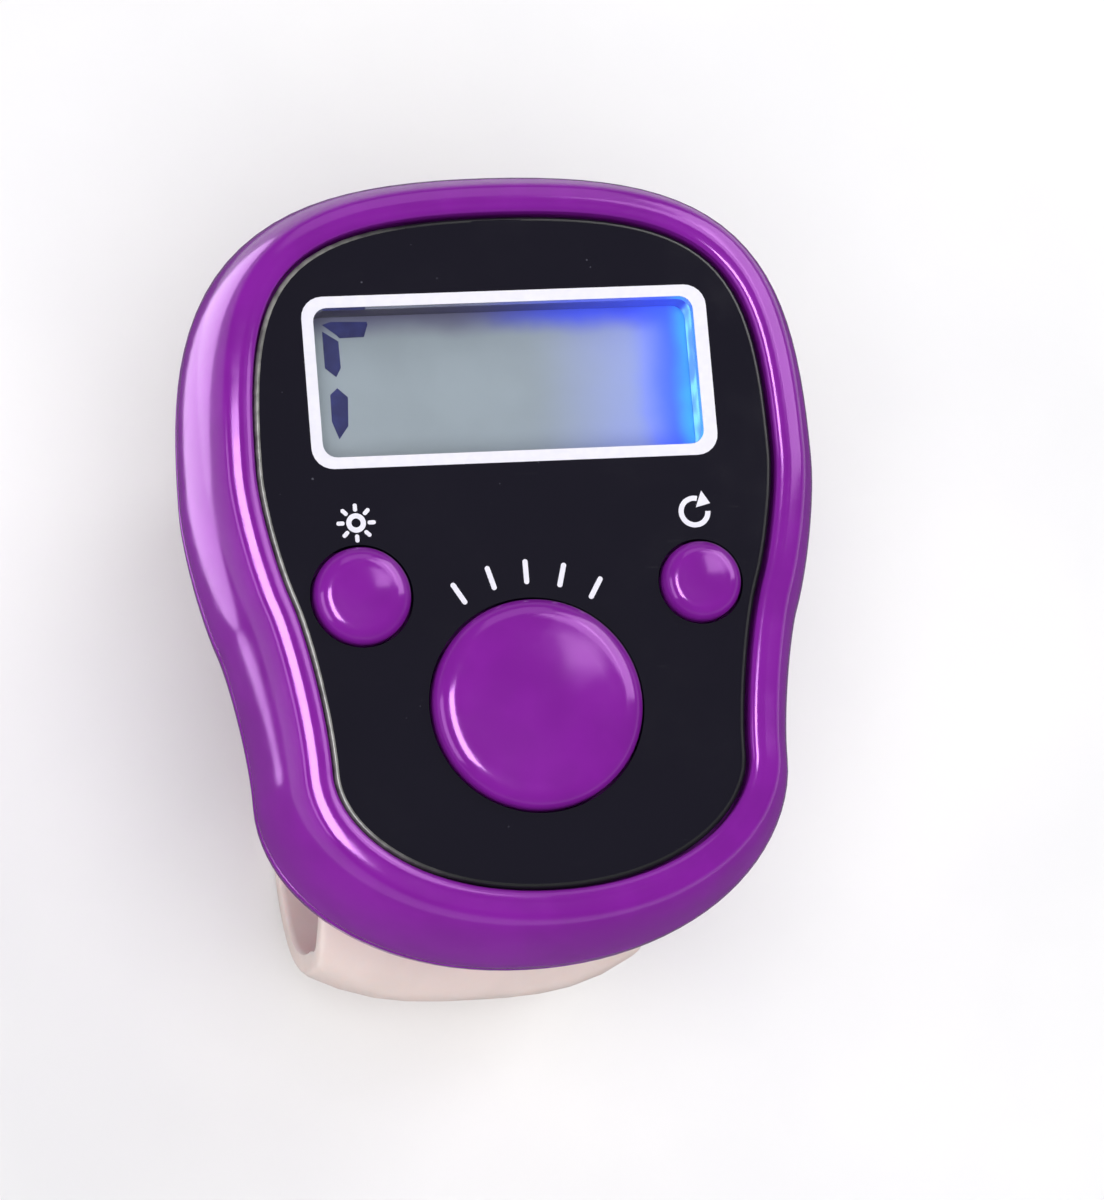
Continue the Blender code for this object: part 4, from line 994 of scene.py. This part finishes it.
class COUNTER_OT_print(bpy.types.Operator):
    """White print: the line round the window, a sun, a turned-back arrow and tally strokes over the keys"""

    bl_idname = "counter.print"
    bl_label = "White Print"

    def execute(self, context):
        size = sizes()
        low = PANEL_TOP - HAIR
        high = PANEL_TOP + size.ink
        reach = size.frame_line
        line = block(
            (-WINDOW_HALF_WIDTH - reach, WINDOW_Y - WINDOW_HALF_HEIGHT - reach, low),
            (WINDOW_HALF_WIDTH + reach + 0.0001, WINDOW_Y + WINDOW_HALF_HEIGHT + reach, high),
            0.0005 + reach,
        )
        border = piece("window_frame_print", line, white_screen_ink, "black_face")
        carve(border, window_block(0.0, low - CUT_MARGIN, high + CUT_MARGIN))
        stroke = size.icon_stroke
        (_, count_at, *_), (_, light_at, light_radius, *_), (_, reset_at, reset_radius, *_) = keys()

        centre = (light_at[0], light_at[1] + light_radius + 0.00125)
        shapes = [arc(centre, 0.00036, stroke, low, high)]
        eighths = [number * math.pi / 4 for number in range(8)]
        shapes += rays(centre, eighths, 0.00068, 0.00088, stroke * 0.8, low, high)

        centre = (reset_at[0], reset_at[1] + reset_radius + 0.00155)
        radius = 0.00068
        shapes.append(arc(centre, radius, stroke, low, high, math.radians(75), math.radians(285)))
        outward = Vector((math.cos(math.radians(68)), math.sin(math.radians(68))))
        onward = Vector((outward.y, -outward.x))
        root = Vector(centre) + outward * radius
        barb = outward * 0.00046
        shapes.append(plate((root + barb, root + onward * 0.00062, root - barb), low, high))

        turns = [math.radians(90 - 15.5 * number) for number in range(-2, 3)]
        shapes += rays(count_at, turns, 0.0062, 0.0072, stroke, low, high)
        piece("key_symbols_print", gathered(shapes), white_screen_ink, "black_face")
        return {"FINISHED"}


class COUNTER_OT_display(bpy.types.Operator):
    """Display glass with its dark segments"""

    bl_idname = "counter.display"
    bl_label = "Display"

    def execute(self, context):
        glass = block(GLASS_LOW, GLASS_HIGH, 0.0, 0.00006)
        piece("display_cell", glass, satin_polariser_on_glass, "display_glass", ["lcd_glass"])
        low = GLASS_HIGH.z - HAIR
        high = GLASS_HIGH.z + 0.00003
        upper = (
            (-0.00886, 0.01224), (-0.0084, 0.01238), (-0.0066, 0.01232), (-0.00656, 0.01218),
            (-0.00679, 0.01155), (-0.00803, 0.01153), (-0.00817, 0.01169),
        )
        middle = (
            (-0.00888, 0.0119), (-0.0081, 0.01137), (-0.00808, 0.01), (-0.00834, 0.00955),
            (-0.00888, 0.01002),
        )
        lower = (
            (-0.00834, 0.00898), (-0.00784, 0.0085), (-0.00793, 0.00703), (-0.00843, 0.00637),
            (-0.00874, 0.00729), (-0.00872, 0.00865),
        )
        shapes = [plate(corners, low, high) for corners in (upper, middle, lower)]
        piece("display_segments", gathered(shapes), indigo_crystal_segment, "display_glass")
        return {"FINISHED"}


class COUNTER_OT_keys(bpy.types.Operator):
    """The three push keys: domed caps with soft shoulders and flanges, and the rubber domes under them"""

    bl_idname = "counter.keys"
    bl_label = "Keys and Domes"

    def execute(self, context):
        for name, at, radius, height, dome, travel in keys():
            top = PANEL_TOP + height
            crown = 0.045 * radius
            flat = radius - min(0.00135, radius * 0.42)
            side = top - crown - min(0.00085, height * 0.8)
            flange = DECK_Z - STACK_GAP
            rim = radius + 0.0007
            wall = radius - 0.0009
            shares = (0.0, 0.15, 0.3, 0.45, 0.6, 0.75, 0.88, 1.0)
            profile = [(flat * share, top - crown * share * share) for share in shares]
            profile += quarter((flat, top - crown), (radius, side), 14, upright_first=False)
            profile += [
                (radius, flange), (rim, flange), (rim, flange - 0.0006), (wall, flange - 0.0006),
                (wall, top - 0.0018), (dome / 2, top - 0.0018), (dome / 2, GUIDE_Z + 0.0016),
                (0.0, GUIDE_Z + 0.0016),
            ]
            cap = moved(turned(profile, 128), *at)
            node = f"{name}_button"
            piece(f"{name}_key", cap, gloss_moulded_abs, "purple_plastic", [node], node, sharp=40)

            tall = 0.0015
            high = GUIDE_Z + tall
            wall = dome * 0.2
            crown_radius = dome * 0.6
            profile = [(0.0, high), (crown_radius - 0.0001, high)]
            profile += quarter(profile[-1], (crown_radius, high - 0.0001), 3, upright_first=False)
            profile += [
                (dome - wall, GUIDE_Z + 0.0004), (dome - 0.0001, GUIDE_Z + 0.0004), (dome, GUIDE_Z + 0.0003),
                (dome, GUIDE_Z), (dome - 2 * wall, GUIDE_Z), (crown_radius - wall, high - 0.0005),
                (0.0, high - 0.0005),
            ]
            spring = moved(turned(profile, 64), *at)
            node = f"{name}_dome"
            cushion = piece(f"{name}_rubber_dome", spring, moulded_silicone_rubber, "silicone_rubber", [node])
            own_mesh(cushion)
        return {"FINISHED"}


def strap_route(steps=20):
    """The strap's centre line as (y, z), from its head in the case to the end of its tail."""
    thickness = sizes().strap_thickness
    floor_z = thickness / 2
    side_z = BACK_Z - (BACK_Z - thickness) * 0.47
    tail_z = BACK_Z - STACK_GAP - thickness / 2
    front = Vector((SLOT_Y - 0.0051, side_z))
    rear = Vector((PEG_Y + 0.005, side_z))
    below_slot = Vector((SLOT_Y, BACK_Z - thickness / 2))
    floor_front = Vector((SLOT_Y + 0.0061, floor_z))
    floor_rear = Vector((PEG_Y - 0.0041, floor_z))
    tail_start = Vector((PEG_Y + 0.0014, tail_z))
    tail_end = Vector((PEG_Y - 0.0066, tail_z))
    bend_end = Vector((PEG_Y - 0.0042, tail_z))
    up = Vector((0.0, 1.0))
    back = Vector((1.0, 0.0))
    rise = up * (tail_z - side_z)
    pull = 0.55
    drop = up * (side_z - floor_z) * pull
    front_pull = back * (floor_front.x - front.x) * pull
    rear_pull = back * (rear.x - floor_rear.x) * pull
    tail_pull = back * (rear.x - tail_start.x) * pull

    def curved(*points):
        return [cubic(points, step / steps)[0] for step in range(steps)]

    return [
        Vector((SLOT_Y, BACK_Z + 0.0013 + thickness / 2)),
        *curved(below_slot, below_slot - rise * 0.45, front + rise * 0.4, front),
        *curved(front, front - drop, floor_front - front_pull, floor_front),
        *[floor_front.lerp(floor_rear, step / 6) for step in range(6)],
        *curved(floor_rear, floor_rear + rear_pull, rear - drop, rear),
        *curved(rear, rear + rise * pull, tail_start + tail_pull, tail_start),
        *[tail_start.lerp(bend_end, step / 5) for step in range(5)],
        *[bend_end.lerp(tail_end, math.sin(step / 12 * math.pi / 2 * 0.99)) for step in range(13)],
    ]


def strap_stations():
    """Each station of the route: its point, the outward direction and the length so far."""
    route = strap_route()
    stations = []
    travelled = 0.0
    for index, point in enumerate(route):
        along = (route[min(index + 1, len(route) - 1)] - route[max(index - 1, 0)]).normalized()
        if index:
            travelled += (point - route[index - 1]).length
        stations.append((point, Vector((along.y, -along.x)), travelled))
    return stations


class COUNTER_OT_strap(bpy.types.Operator):
    """Finger strap: one soft loop with rounded edges, crowned where it bulges, and holes in its tail"""

    bl_idname = "counter.strap"
    bl_label = "Finger Strap"

    def execute(self, context):
        size = sizes()
        stations = strap_stations()
        total = stations[-1][2]
        tail = 0.0024
        ramp = (BACK_Z - size.strap_thickness) * 0.4
        # The section's columns: share of the width, share of the thickness, and how far down its edge.
        shares = (-0.96, -0.8, -0.6, -0.4, -0.2, 0.0, 0.2, 0.4, 0.6, 0.8, 0.96)
        columns = [(share, 1.0, 0.0) for share in shares]
        columns += [(1.0, 1.0 - 0.3 * down, down) for down in (0.4, 1.0)]
        columns += [(1.0, -1.0 + 0.3 * down, down) for down in (1.0, 0.4)]
        columns += [(-across, -depth, down) for across, depth, down in columns]

        def place(number, station):
            point, outward, travelled = station
            share = min(max((travelled - 0.0025) / ramp, 0.0), 1.0)
            crown = 0.0019 * outward.x * abs(outward.x) * share * share * (3 - 2 * share)
            half = size.strap_half_width
            left = total - travelled
            if left < tail:
                half -= tail * (1 - math.sqrt(max(1 - (1 - left / tail) ** 2, 0.0)))
            across, depth, down = columns[number]
            x = half * across
            if abs(across) == 1.0:
                x = math.copysign(half - size.strap_edge * (1 - down) * 0.5, across)
            rise = size.strap_thickness / 2 * depth
            spot = point + outward * rise - Vector((crown * abs(x / size.strap_half_width) ** 3, 0.0))
            return (x, spot.x, spot.y)

        loop = lofted(len(columns), stations, place)
        band = piece("finger_band", loop, milky_moulded_tpu, "milky_tpu", ["finger_strap"], sharp=50)
        low = BACK_Z + 0.0014
        high = low + size.strap_thickness
        head = block((-0.0065, SLOT_Y - 0.0012, low), (0.0065, SLOT_Y + 0.0012, high), 0.0004, 0.0003)
        carve(band, head, join=True, sharp=50)
        holes = []
        for number in range(-3, 2):
            wanted = total - 0.0066 + number * 0.0042
            for (start, start_out, low), (end, end_out, high) in zip(stations, stations[1:]):
                if low <= wanted < high:
                    share = (wanted - low) / (high - low)
                    point = start.lerp(end, share)
                    outward = start_out.lerp(end_out, share)
                    break
            radius = 0.00125
            reach = 0.0018
            hole = turned([(0, reach), (radius, reach), (radius, -reach), (0, -reach)], 48)
            direction = Vector((0.0, outward.x, outward.y))
            turn = Vector((0.0, 0.0, 1.0)).rotation_difference(direction).to_matrix().to_4x4()
            across_band = Matrix.Translation((0.0, point.x, point.y)) @ turn
            bmesh.ops.transform(hole, matrix=across_band, verts=hole.verts)
            holes.append(hole)
        carve(band, *holes, sharp=50)
        settle_normals(band)
        return {"FINISHED"}


class COUNTER_OT_door(bpy.types.Operator):
    """Battery door: a round cover with two lugs, a coin slot and two alignment dots"""

    bl_idname = "counter.door"
    bl_label = "Battery Door"

    def execute(self, context):
        x, y = DOOR_AXIS
        radius = DOOR_RADIUS
        below = BACK_Z - CUT_MARGIN
        fillet = 0.00018
        profile = [(0, DOOR_TOP), (radius - 0.0001, DOOR_TOP), (radius, DOOR_TOP - 0.0001)]
        profile.append((radius, BACK_Z + fillet))
        profile += quarter(profile[-1], (radius - fillet, BACK_Z), 4)
        profile.append((0, BACK_Z))
        cover = moved(turned(profile), x, y)
        node = "battery_door"
        door = piece("coin_door", cover, gloss_moulded_abs, "purple_plastic", [node], node, sharp=40)
        reach = radius + 0.00065
        lugs = block((-reach, y - 0.0012, BACK_Z + 0.0007), (reach, y + 0.0012, DOOR_TOP - STACK_GAP), 0.0004)
        carve(door, lugs, join=True, sharp=40)
        slot = block((-0.0045, y - 0.00075, below), (0.0045, y + 0.00075, BACK_Z + 0.0006), 0.00037, 0.0001)
        carve(door, slot, sharp=40)
        dots = [rod((x + side, y), 0.00035, below, BACK_Z + 0.0002, 24) for side in (-0.0057, 0.0057)]
        carve(door, *dots, sharp=40)
        settle_normals(door)
        return {"FINISHED"}


def screw(node, shank, head, head_height, pitch):
    """A pan-head screw with a cross recess and a ridged shank, its head down, in a CAD screw's place."""
    start, end = (corner.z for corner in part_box(node))
    under = start + head_height
    rim = start + head_height * 0.02
    profile = [(0.0, start), (head * 0.35, rim)]
    profile += quarter((head * 0.35, rim), (head, start + head_height * 0.6), 6, upright_first=False)
    profile += [(head, under), (shank, under)]
    root = shank * 0.78
    for ridge in range(int((end - shank - under) / pitch)):
        z = under + pitch * ridge
        profile += [(root, z + pitch * 0.3), (root, z + pitch * 0.5)]
        profile += [(shank, z + pitch * 0.9), (shank, z + pitch)]
    profile += [(shank * 0.2, end - shank * 0.1), (0.0, end)]
    at = axis_of(node)
    body = moved(turned(profile, 40), *at)
    made = piece(node.replace("screw", "fixing"), body, nickel_plated_steel, "nickel_steel", [node], sharp=35)
    depth = head_height * 0.55
    reach = Vector((head * 0.62, head * 0.13, (depth + CUT_MARGIN) / 2))
    for turn in (0.4, 0.4 + math.pi / 2):
        slot = block(-reach, reach)
        for vert in slot.verts:
            if vert.co.z > 0:
                vert.co.x *= 0.55
                vert.co.y *= 0.7
        carve(made, moved(slot, *at, start + (depth - CUT_MARGIN) / 2, turn), sharp=35)


class COUNTER_OT_screws(bpy.types.Operator):
    """Case screws and board screws with pan heads, cross recesses and ridged shanks"""

    bl_idname = "counter.screws"
    bl_label = "Screws"

    def execute(self, context):
        for number in (1, 2, 3, 4):
            screw(f"case_screw_{number}", shank=0.00085, head=0.0016, head_height=0.001, pitch=0.0004)
        for number in (1, 2, 3):
            screw(f"board_screw_{number}", shank=0.00045, head=0.00095, head_height=0.0005, pitch=0.0002)
        return {"FINISHED"}


class COUNTER_OT_cells(bpy.types.Operator):
    """Two button cells: a rolled can, a dark sealing ring and the raised cap of the negative side"""

    bl_idname = "counter.cells"
    bl_label = "Button Cells"

    def execute(self, context):
        for node, name in (("button_cell_rear", "rear_cell"), ("button_cell_front", "front_cell")):
            low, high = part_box(node)
            radius = (high.x - low.x) / 2
            height = high.z - low.z
            dish = low.z + 0.00006
            crimp = low.z + height * 0.86
            groove = high.z - 0.00022
            can = [(0.0, dish), (radius * 0.82, dish), (radius * 0.84, low.z), (radius - 0.0003, low.z)]
            can += quarter(can[-1], (radius, low.z + 0.0003), 4, upright_first=False)
            can.append((radius, crimp))
            can += quarter(can[-1], (radius * 0.91, high.z - 0.00018), 5)
            can += [(radius * 0.88, groove), (radius * 0.88, high.z - 0.0006), (0.0, high.z - 0.0006)]
            ring = [
                (radius * 0.8, high.z - 0.0007), (radius * 0.879, high.z - 0.0007), (radius * 0.879, groove),
                (radius * 0.86, high.z - 0.00016), (radius * 0.8, high.z - 0.00016),
            ]
            cap = [(0.0, high.z), (radius * 0.74, high.z)]
            cap += quarter(cap[-1], (radius * 0.799, high.z - 0.0002), 4, upright_first=False)
            cap += [(radius * 0.799, high.z - 0.0007), (0.0, high.z - 0.0007)]
            for part, profile, closed, maker, slot, replaced in (
                ("can", can, False, nickel_plated_steel, "nickel_steel", [node]),
                ("seal", ring, True, poured_black_epoxy, "black_resin", ()),
                ("cap", cap, False, nickel_plated_steel, "nickel_steel", ()),
            ):
                shape = moved(turned(profile, closed=closed), *axis_of(node))
                piece(f"{name}_{part}", shape, maker, slot, replaced)
        return {"FINISHED"}


class COUNTER_OT_board_parts(bpy.types.Operator):
    """Small parts on the board: contact strips, the blue lamp, and the capped resistor and capacitor"""

    bl_idname = "counter.board_parts"
    bl_label = "Board Parts"

    def execute(self, context):
        for level in ("lower", "upper"):
            node = f"contact_strip_{level}"
            strip = block(*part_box(node), 0.0002, 0.00006)
            piece(f"{level}_layered_strip", strip, layered_contact_rubber, "silicone_rubber", [node])
        for node, name, maker, slot in (
            ("led_resistor", "chip_resistor", poured_black_epoxy, "black_resin"),
            ("filter_capacitor", "chip_capacitor", fired_tan_ceramic, "tan_ceramic"),
        ):
            low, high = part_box(node)
            along = 0 if high.x - low.x > high.y - low.y else 1
            inset = Vector((0.00002, 0.00002, 0.00002))
            inset[along] = 0.00004
            piece(name, block(low + inset, high - inset, 0.00004, 0.00003), maker, slot, [node])
            reach = (high[along] - low[along]) * 0.22
            near = high.copy()
            near[along] = low[along] + reach
            far = low.copy()
            far[along] = high[along] - reach
            ends = [block(*corners, 0.00006, 0.00004) for corners in ((low, near), (far, high))]
            piece(f"{name}_ends", gathered(ends), nickel_plated_steel, "nickel_steel")
        body = block(*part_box("backlight_led"), 0.0001, 0.00008)
        piece("backlight_lamp", body, lit_blue_epoxy, "milky_light_guide", ["backlight_led"])
        return {"FINISHED"}


class COUNTER_OT_finishes(bpy.types.Operator):
    """Finishes of the pieces inside the case that keep their solids"""

    bl_idname = "counter.finishes"
    bl_label = "Inner Finishes"

    def execute(self, context):
        for name, maker in (
            ("light_guide", milky_acrylic_guide),
            ("circuit_board", green_solder_resist),
            ("chip_blob", poured_black_epoxy),
            ("contact_negative", tinned_spring_brass),
            ("contact_positive", tinned_spring_brass),
        ):
            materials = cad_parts[name].data.materials
            materials.clear()
            materials.append(finish(maker))
        return {"FINISHED"}


# Camera: where it stands, and its image axes, found from the photographed outline.
CAMERA_DIRECTION = Vector((-0.2052, -0.192, 0.9597))
CAMERA_RIGHT = Vector((0.9778, -0.0835, 0.1924))
CAMERA_UP = Vector((0.0432, 0.9778, 0.2049))
CAMERA_DISTANCE = 0.317083
CAMERA_SHIFT = (0.0013837, -0.0025269)
CAMERA_LENS = 192.47
LAMP_FOCUS = Vector((0.0, 0.0, 0.028))


def unseen(thing, *rays):
    """Hides a thing from these kinds of ray."""
    for ray in rays:
        setattr(thing, f"visible_{ray}", False)


def lamp(name, kind, direction, distance, energy, **settings):
    """Stands a lamp at a distance from the counter, turned to it, and keeps the lamp itself out of sight."""
    data = bpy.data.lights.new(name, kind)
    data.energy = energy
    for setting, value in settings.items():
        setattr(data, setting, value)
    holder = bpy.data.objects.new(name, data)
    bpy.context.scene.collection.objects.link(holder)
    away = Vector(direction).normalized()
    side = Vector((0.0, 1.0, 0.0)).cross(away).normalized()
    holder.location = LAMP_FOCUS + away * distance
    holder.rotation_mode = "QUATERNION"
    holder.rotation_quaternion = Matrix((side, away.cross(side), away)).transposed().to_quaternion()
    unseen(holder, "transmission", "camera")
    return holder


class COUNTER_OT_stage(bpy.types.Operator):
    """Stage: a pale floor, soft lamps, the world and the camera"""

    bl_idname = "counter.stage"
    bl_label = "Stage"

    def execute(self, context):
        scene = context.scene
        bm = bmesh.new()
        bmesh.ops.create_grid(bm, x_segments=1, y_segments=1, size=1.5)
        bmesh.ops.translate(bm, verts=bm.verts, vec=(0.0, 0.0, -0.00002))
        floor = shown("pale_floor", bm, matt_white_board)

        # Grey card on the floor, which only the gloss sees, keeps the sides from mirroring the white floor.
        bm = bmesh.new()
        bmesh.ops.create_circle(bm, cap_ends=True, segments=48, radius=0.07)
        card = shown("grey_card", moved(bm, 0.01, -0.033), matt_grey_card)
        unseen(card, "camera", "diffuse", "transmission", "shadow")

        world = bpy.data.worlds.new("soft_studio")
        world.use_nodes = True
        scene.world = world
        tree = world.node_tree
        tree.nodes.clear()
        height = add(tree, "SeparateXYZ", (add(tree, "TexCoord", output="Generated"),), "Z")
        level = add(tree, "MapRange", (height, 0.02, 0.35, 0.85, 0.22), **SMOOTH)
        sky = add(tree, "Background", {"Color": "#ffffff", "Strength": level})
        add(tree, "OutputWorld", {"Surface": sky})

        # Even fills, which light the surfaces and don't show in them: direction from the counter, spread in
        # degrees and the light that falls on a face turned to them.
        for name, direction, blur, light in (
            ("overhead_fill", (-0.1, -0.2, 1.0), 45.0, 1.95),
            ("left_fill", (-1.0, 0.0, 0.15), 26.0, 0.85),
            ("right_fill", (0.75, 0.5, 0.75), 24.0, 0.5),
            ("front_fill", (0.1, -1.0, 0.35), 30.0, 0.36),
        ):
            unseen(lamp(name, "SUN", direction, 0.6, light, angle=math.radians(blur)), "glossy")

        # Soft boxes: direction, distance, width, height, light on a face turned to them, and whether they
        # show only as highlights.
        for name, direction, distance, width, height, light, gloss_only in (
            ("left_high_strip", (-0.34, -0.02, 0.93), 0.5, 0.13, 0.29, 3.8, True),
            ("left_low_strip", (-0.87, -0.12, 0.5), 0.5, 0.16, 0.4, 1.1, True),
            ("right_softbox", (0.72, 0.51, 0.6), 0.5, 0.28, 0.36, 2.2, True),
            ("right_high_glow", (0.42, 0.44, 0.82), 0.6, 0.2, 0.24, 0.72, True),
            ("back_softbox", (0.1, 1.0, 0.8), 0.7, 0.4, 0.3, 0.35, False),
        ):
            shape = {"shape": "RECTANGLE", "size": width, "size_y": height}
            holder = lamp(name, "AREA", direction, distance, light * math.pi * distance * distance, **shape)
            holder.visible_diffuse = not gloss_only

        # A strip that lies on the floor beside the case and faces up.
        width, height = 0.03, 0.08
        holder = lamp(
            "low_floor_strip", "AREA", (0.0, 0.0, -1.0), 0.0, width * height * math.pi * 3.0,
            shape="ELLIPSE", color=linear("#f0c8ff")[:3], size=width, size_y=height,
        )
        holder.location = (-0.038, 0.034, 0.001)
        unseen(holder, "diffuse")

        data = bpy.data.cameras.new("photo_camera")
        data.sensor_width = 36.0
        data.lens = CAMERA_LENS
        data.clip_start = 0.01
        data.clip_end = 10.0
        camera = bpy.data.objects.new("photo_camera", data)
        scene.collection.objects.link(camera)
        camera.location = Vector((0.0, 0.0, PANEL_TOP)) + CAMERA_DIRECTION * CAMERA_DISTANCE
        camera.location += CAMERA_RIGHT * CAMERA_SHIFT[0] + CAMERA_UP * CAMERA_SHIFT[1]
        camera.rotation_mode = "QUATERNION"
        axes = Matrix((CAMERA_RIGHT, CAMERA_UP, CAMERA_DIRECTION)).transposed()
        camera.rotation_quaternion = axes.to_quaternion()
        scene.camera = camera
        scene.view_settings.view_transform = "Standard"
        return {"FINISHED"}


OPERATORS = (
    COUNTER_OT_front_case,
    COUNTER_OT_back_case,
    COUNTER_OT_face,
    COUNTER_OT_print,
    COUNTER_OT_display,
    COUNTER_OT_keys,
    COUNTER_OT_strap,
    COUNTER_OT_door,
    COUNTER_OT_screws,
    COUNTER_OT_cells,
    COUNTER_OT_board_parts,
    COUNTER_OT_finishes,
    COUNTER_OT_stage,
)


class COUNTER_PT_panel(bpy.types.Panel):
    """Lists the counter's pieces, sizes and colours"""

    bl_idname = "COUNTER_PT_panel"
    bl_label = "Finger Counter"
    bl_space_type = "VIEW_3D"
    bl_region_type = "UI"
    bl_category = "Finger Counter"

    def draw(self, context):
        for group, _ in GROUPS:
            column = self.layout.column()
            settings = getattr(context.scene, group)
            for name in settings.bl_rna.properties.keys():
                if name not in ("rna_type", "name"):
                    column.prop(settings, name)
        for operator in OPERATORS:
            self.layout.operator(operator.bl_idname)


GROUPS = (
    ("counter_outline", CounterOutline),
    ("counter_sizes", CounterSizes),
    ("counter_colours", CounterColours),
)


def register():
    for name, group in GROUPS:
        bpy.utils.register_class(group)
        setattr(bpy.types.Scene, name, PointerProperty(type=group))
    for made in (*OPERATORS, COUNTER_PT_panel):
        bpy.utils.register_class(made)


def unregister():
    for made in reversed((*OPERATORS, COUNTER_PT_panel)):
        bpy.utils.unregister_class(made)
    for name, group in reversed(GROUPS):
        delattr(bpy.types.Scene, name)
        bpy.utils.unregister_class(group)


def main():
    register()
    bpy.ops.counter.front_case()
    bpy.ops.counter.back_case()
    bpy.ops.counter.face()
    bpy.ops.counter.print()
    bpy.ops.counter.display()
    bpy.ops.counter.keys()
    bpy.ops.counter.strap()
    bpy.ops.counter.door()
    bpy.ops.counter.screws()
    bpy.ops.counter.cells()
    bpy.ops.counter.board_parts()
    bpy.ops.counter.finishes()
    bpy.ops.counter.stage()


if __name__ == "__main__":
    main()
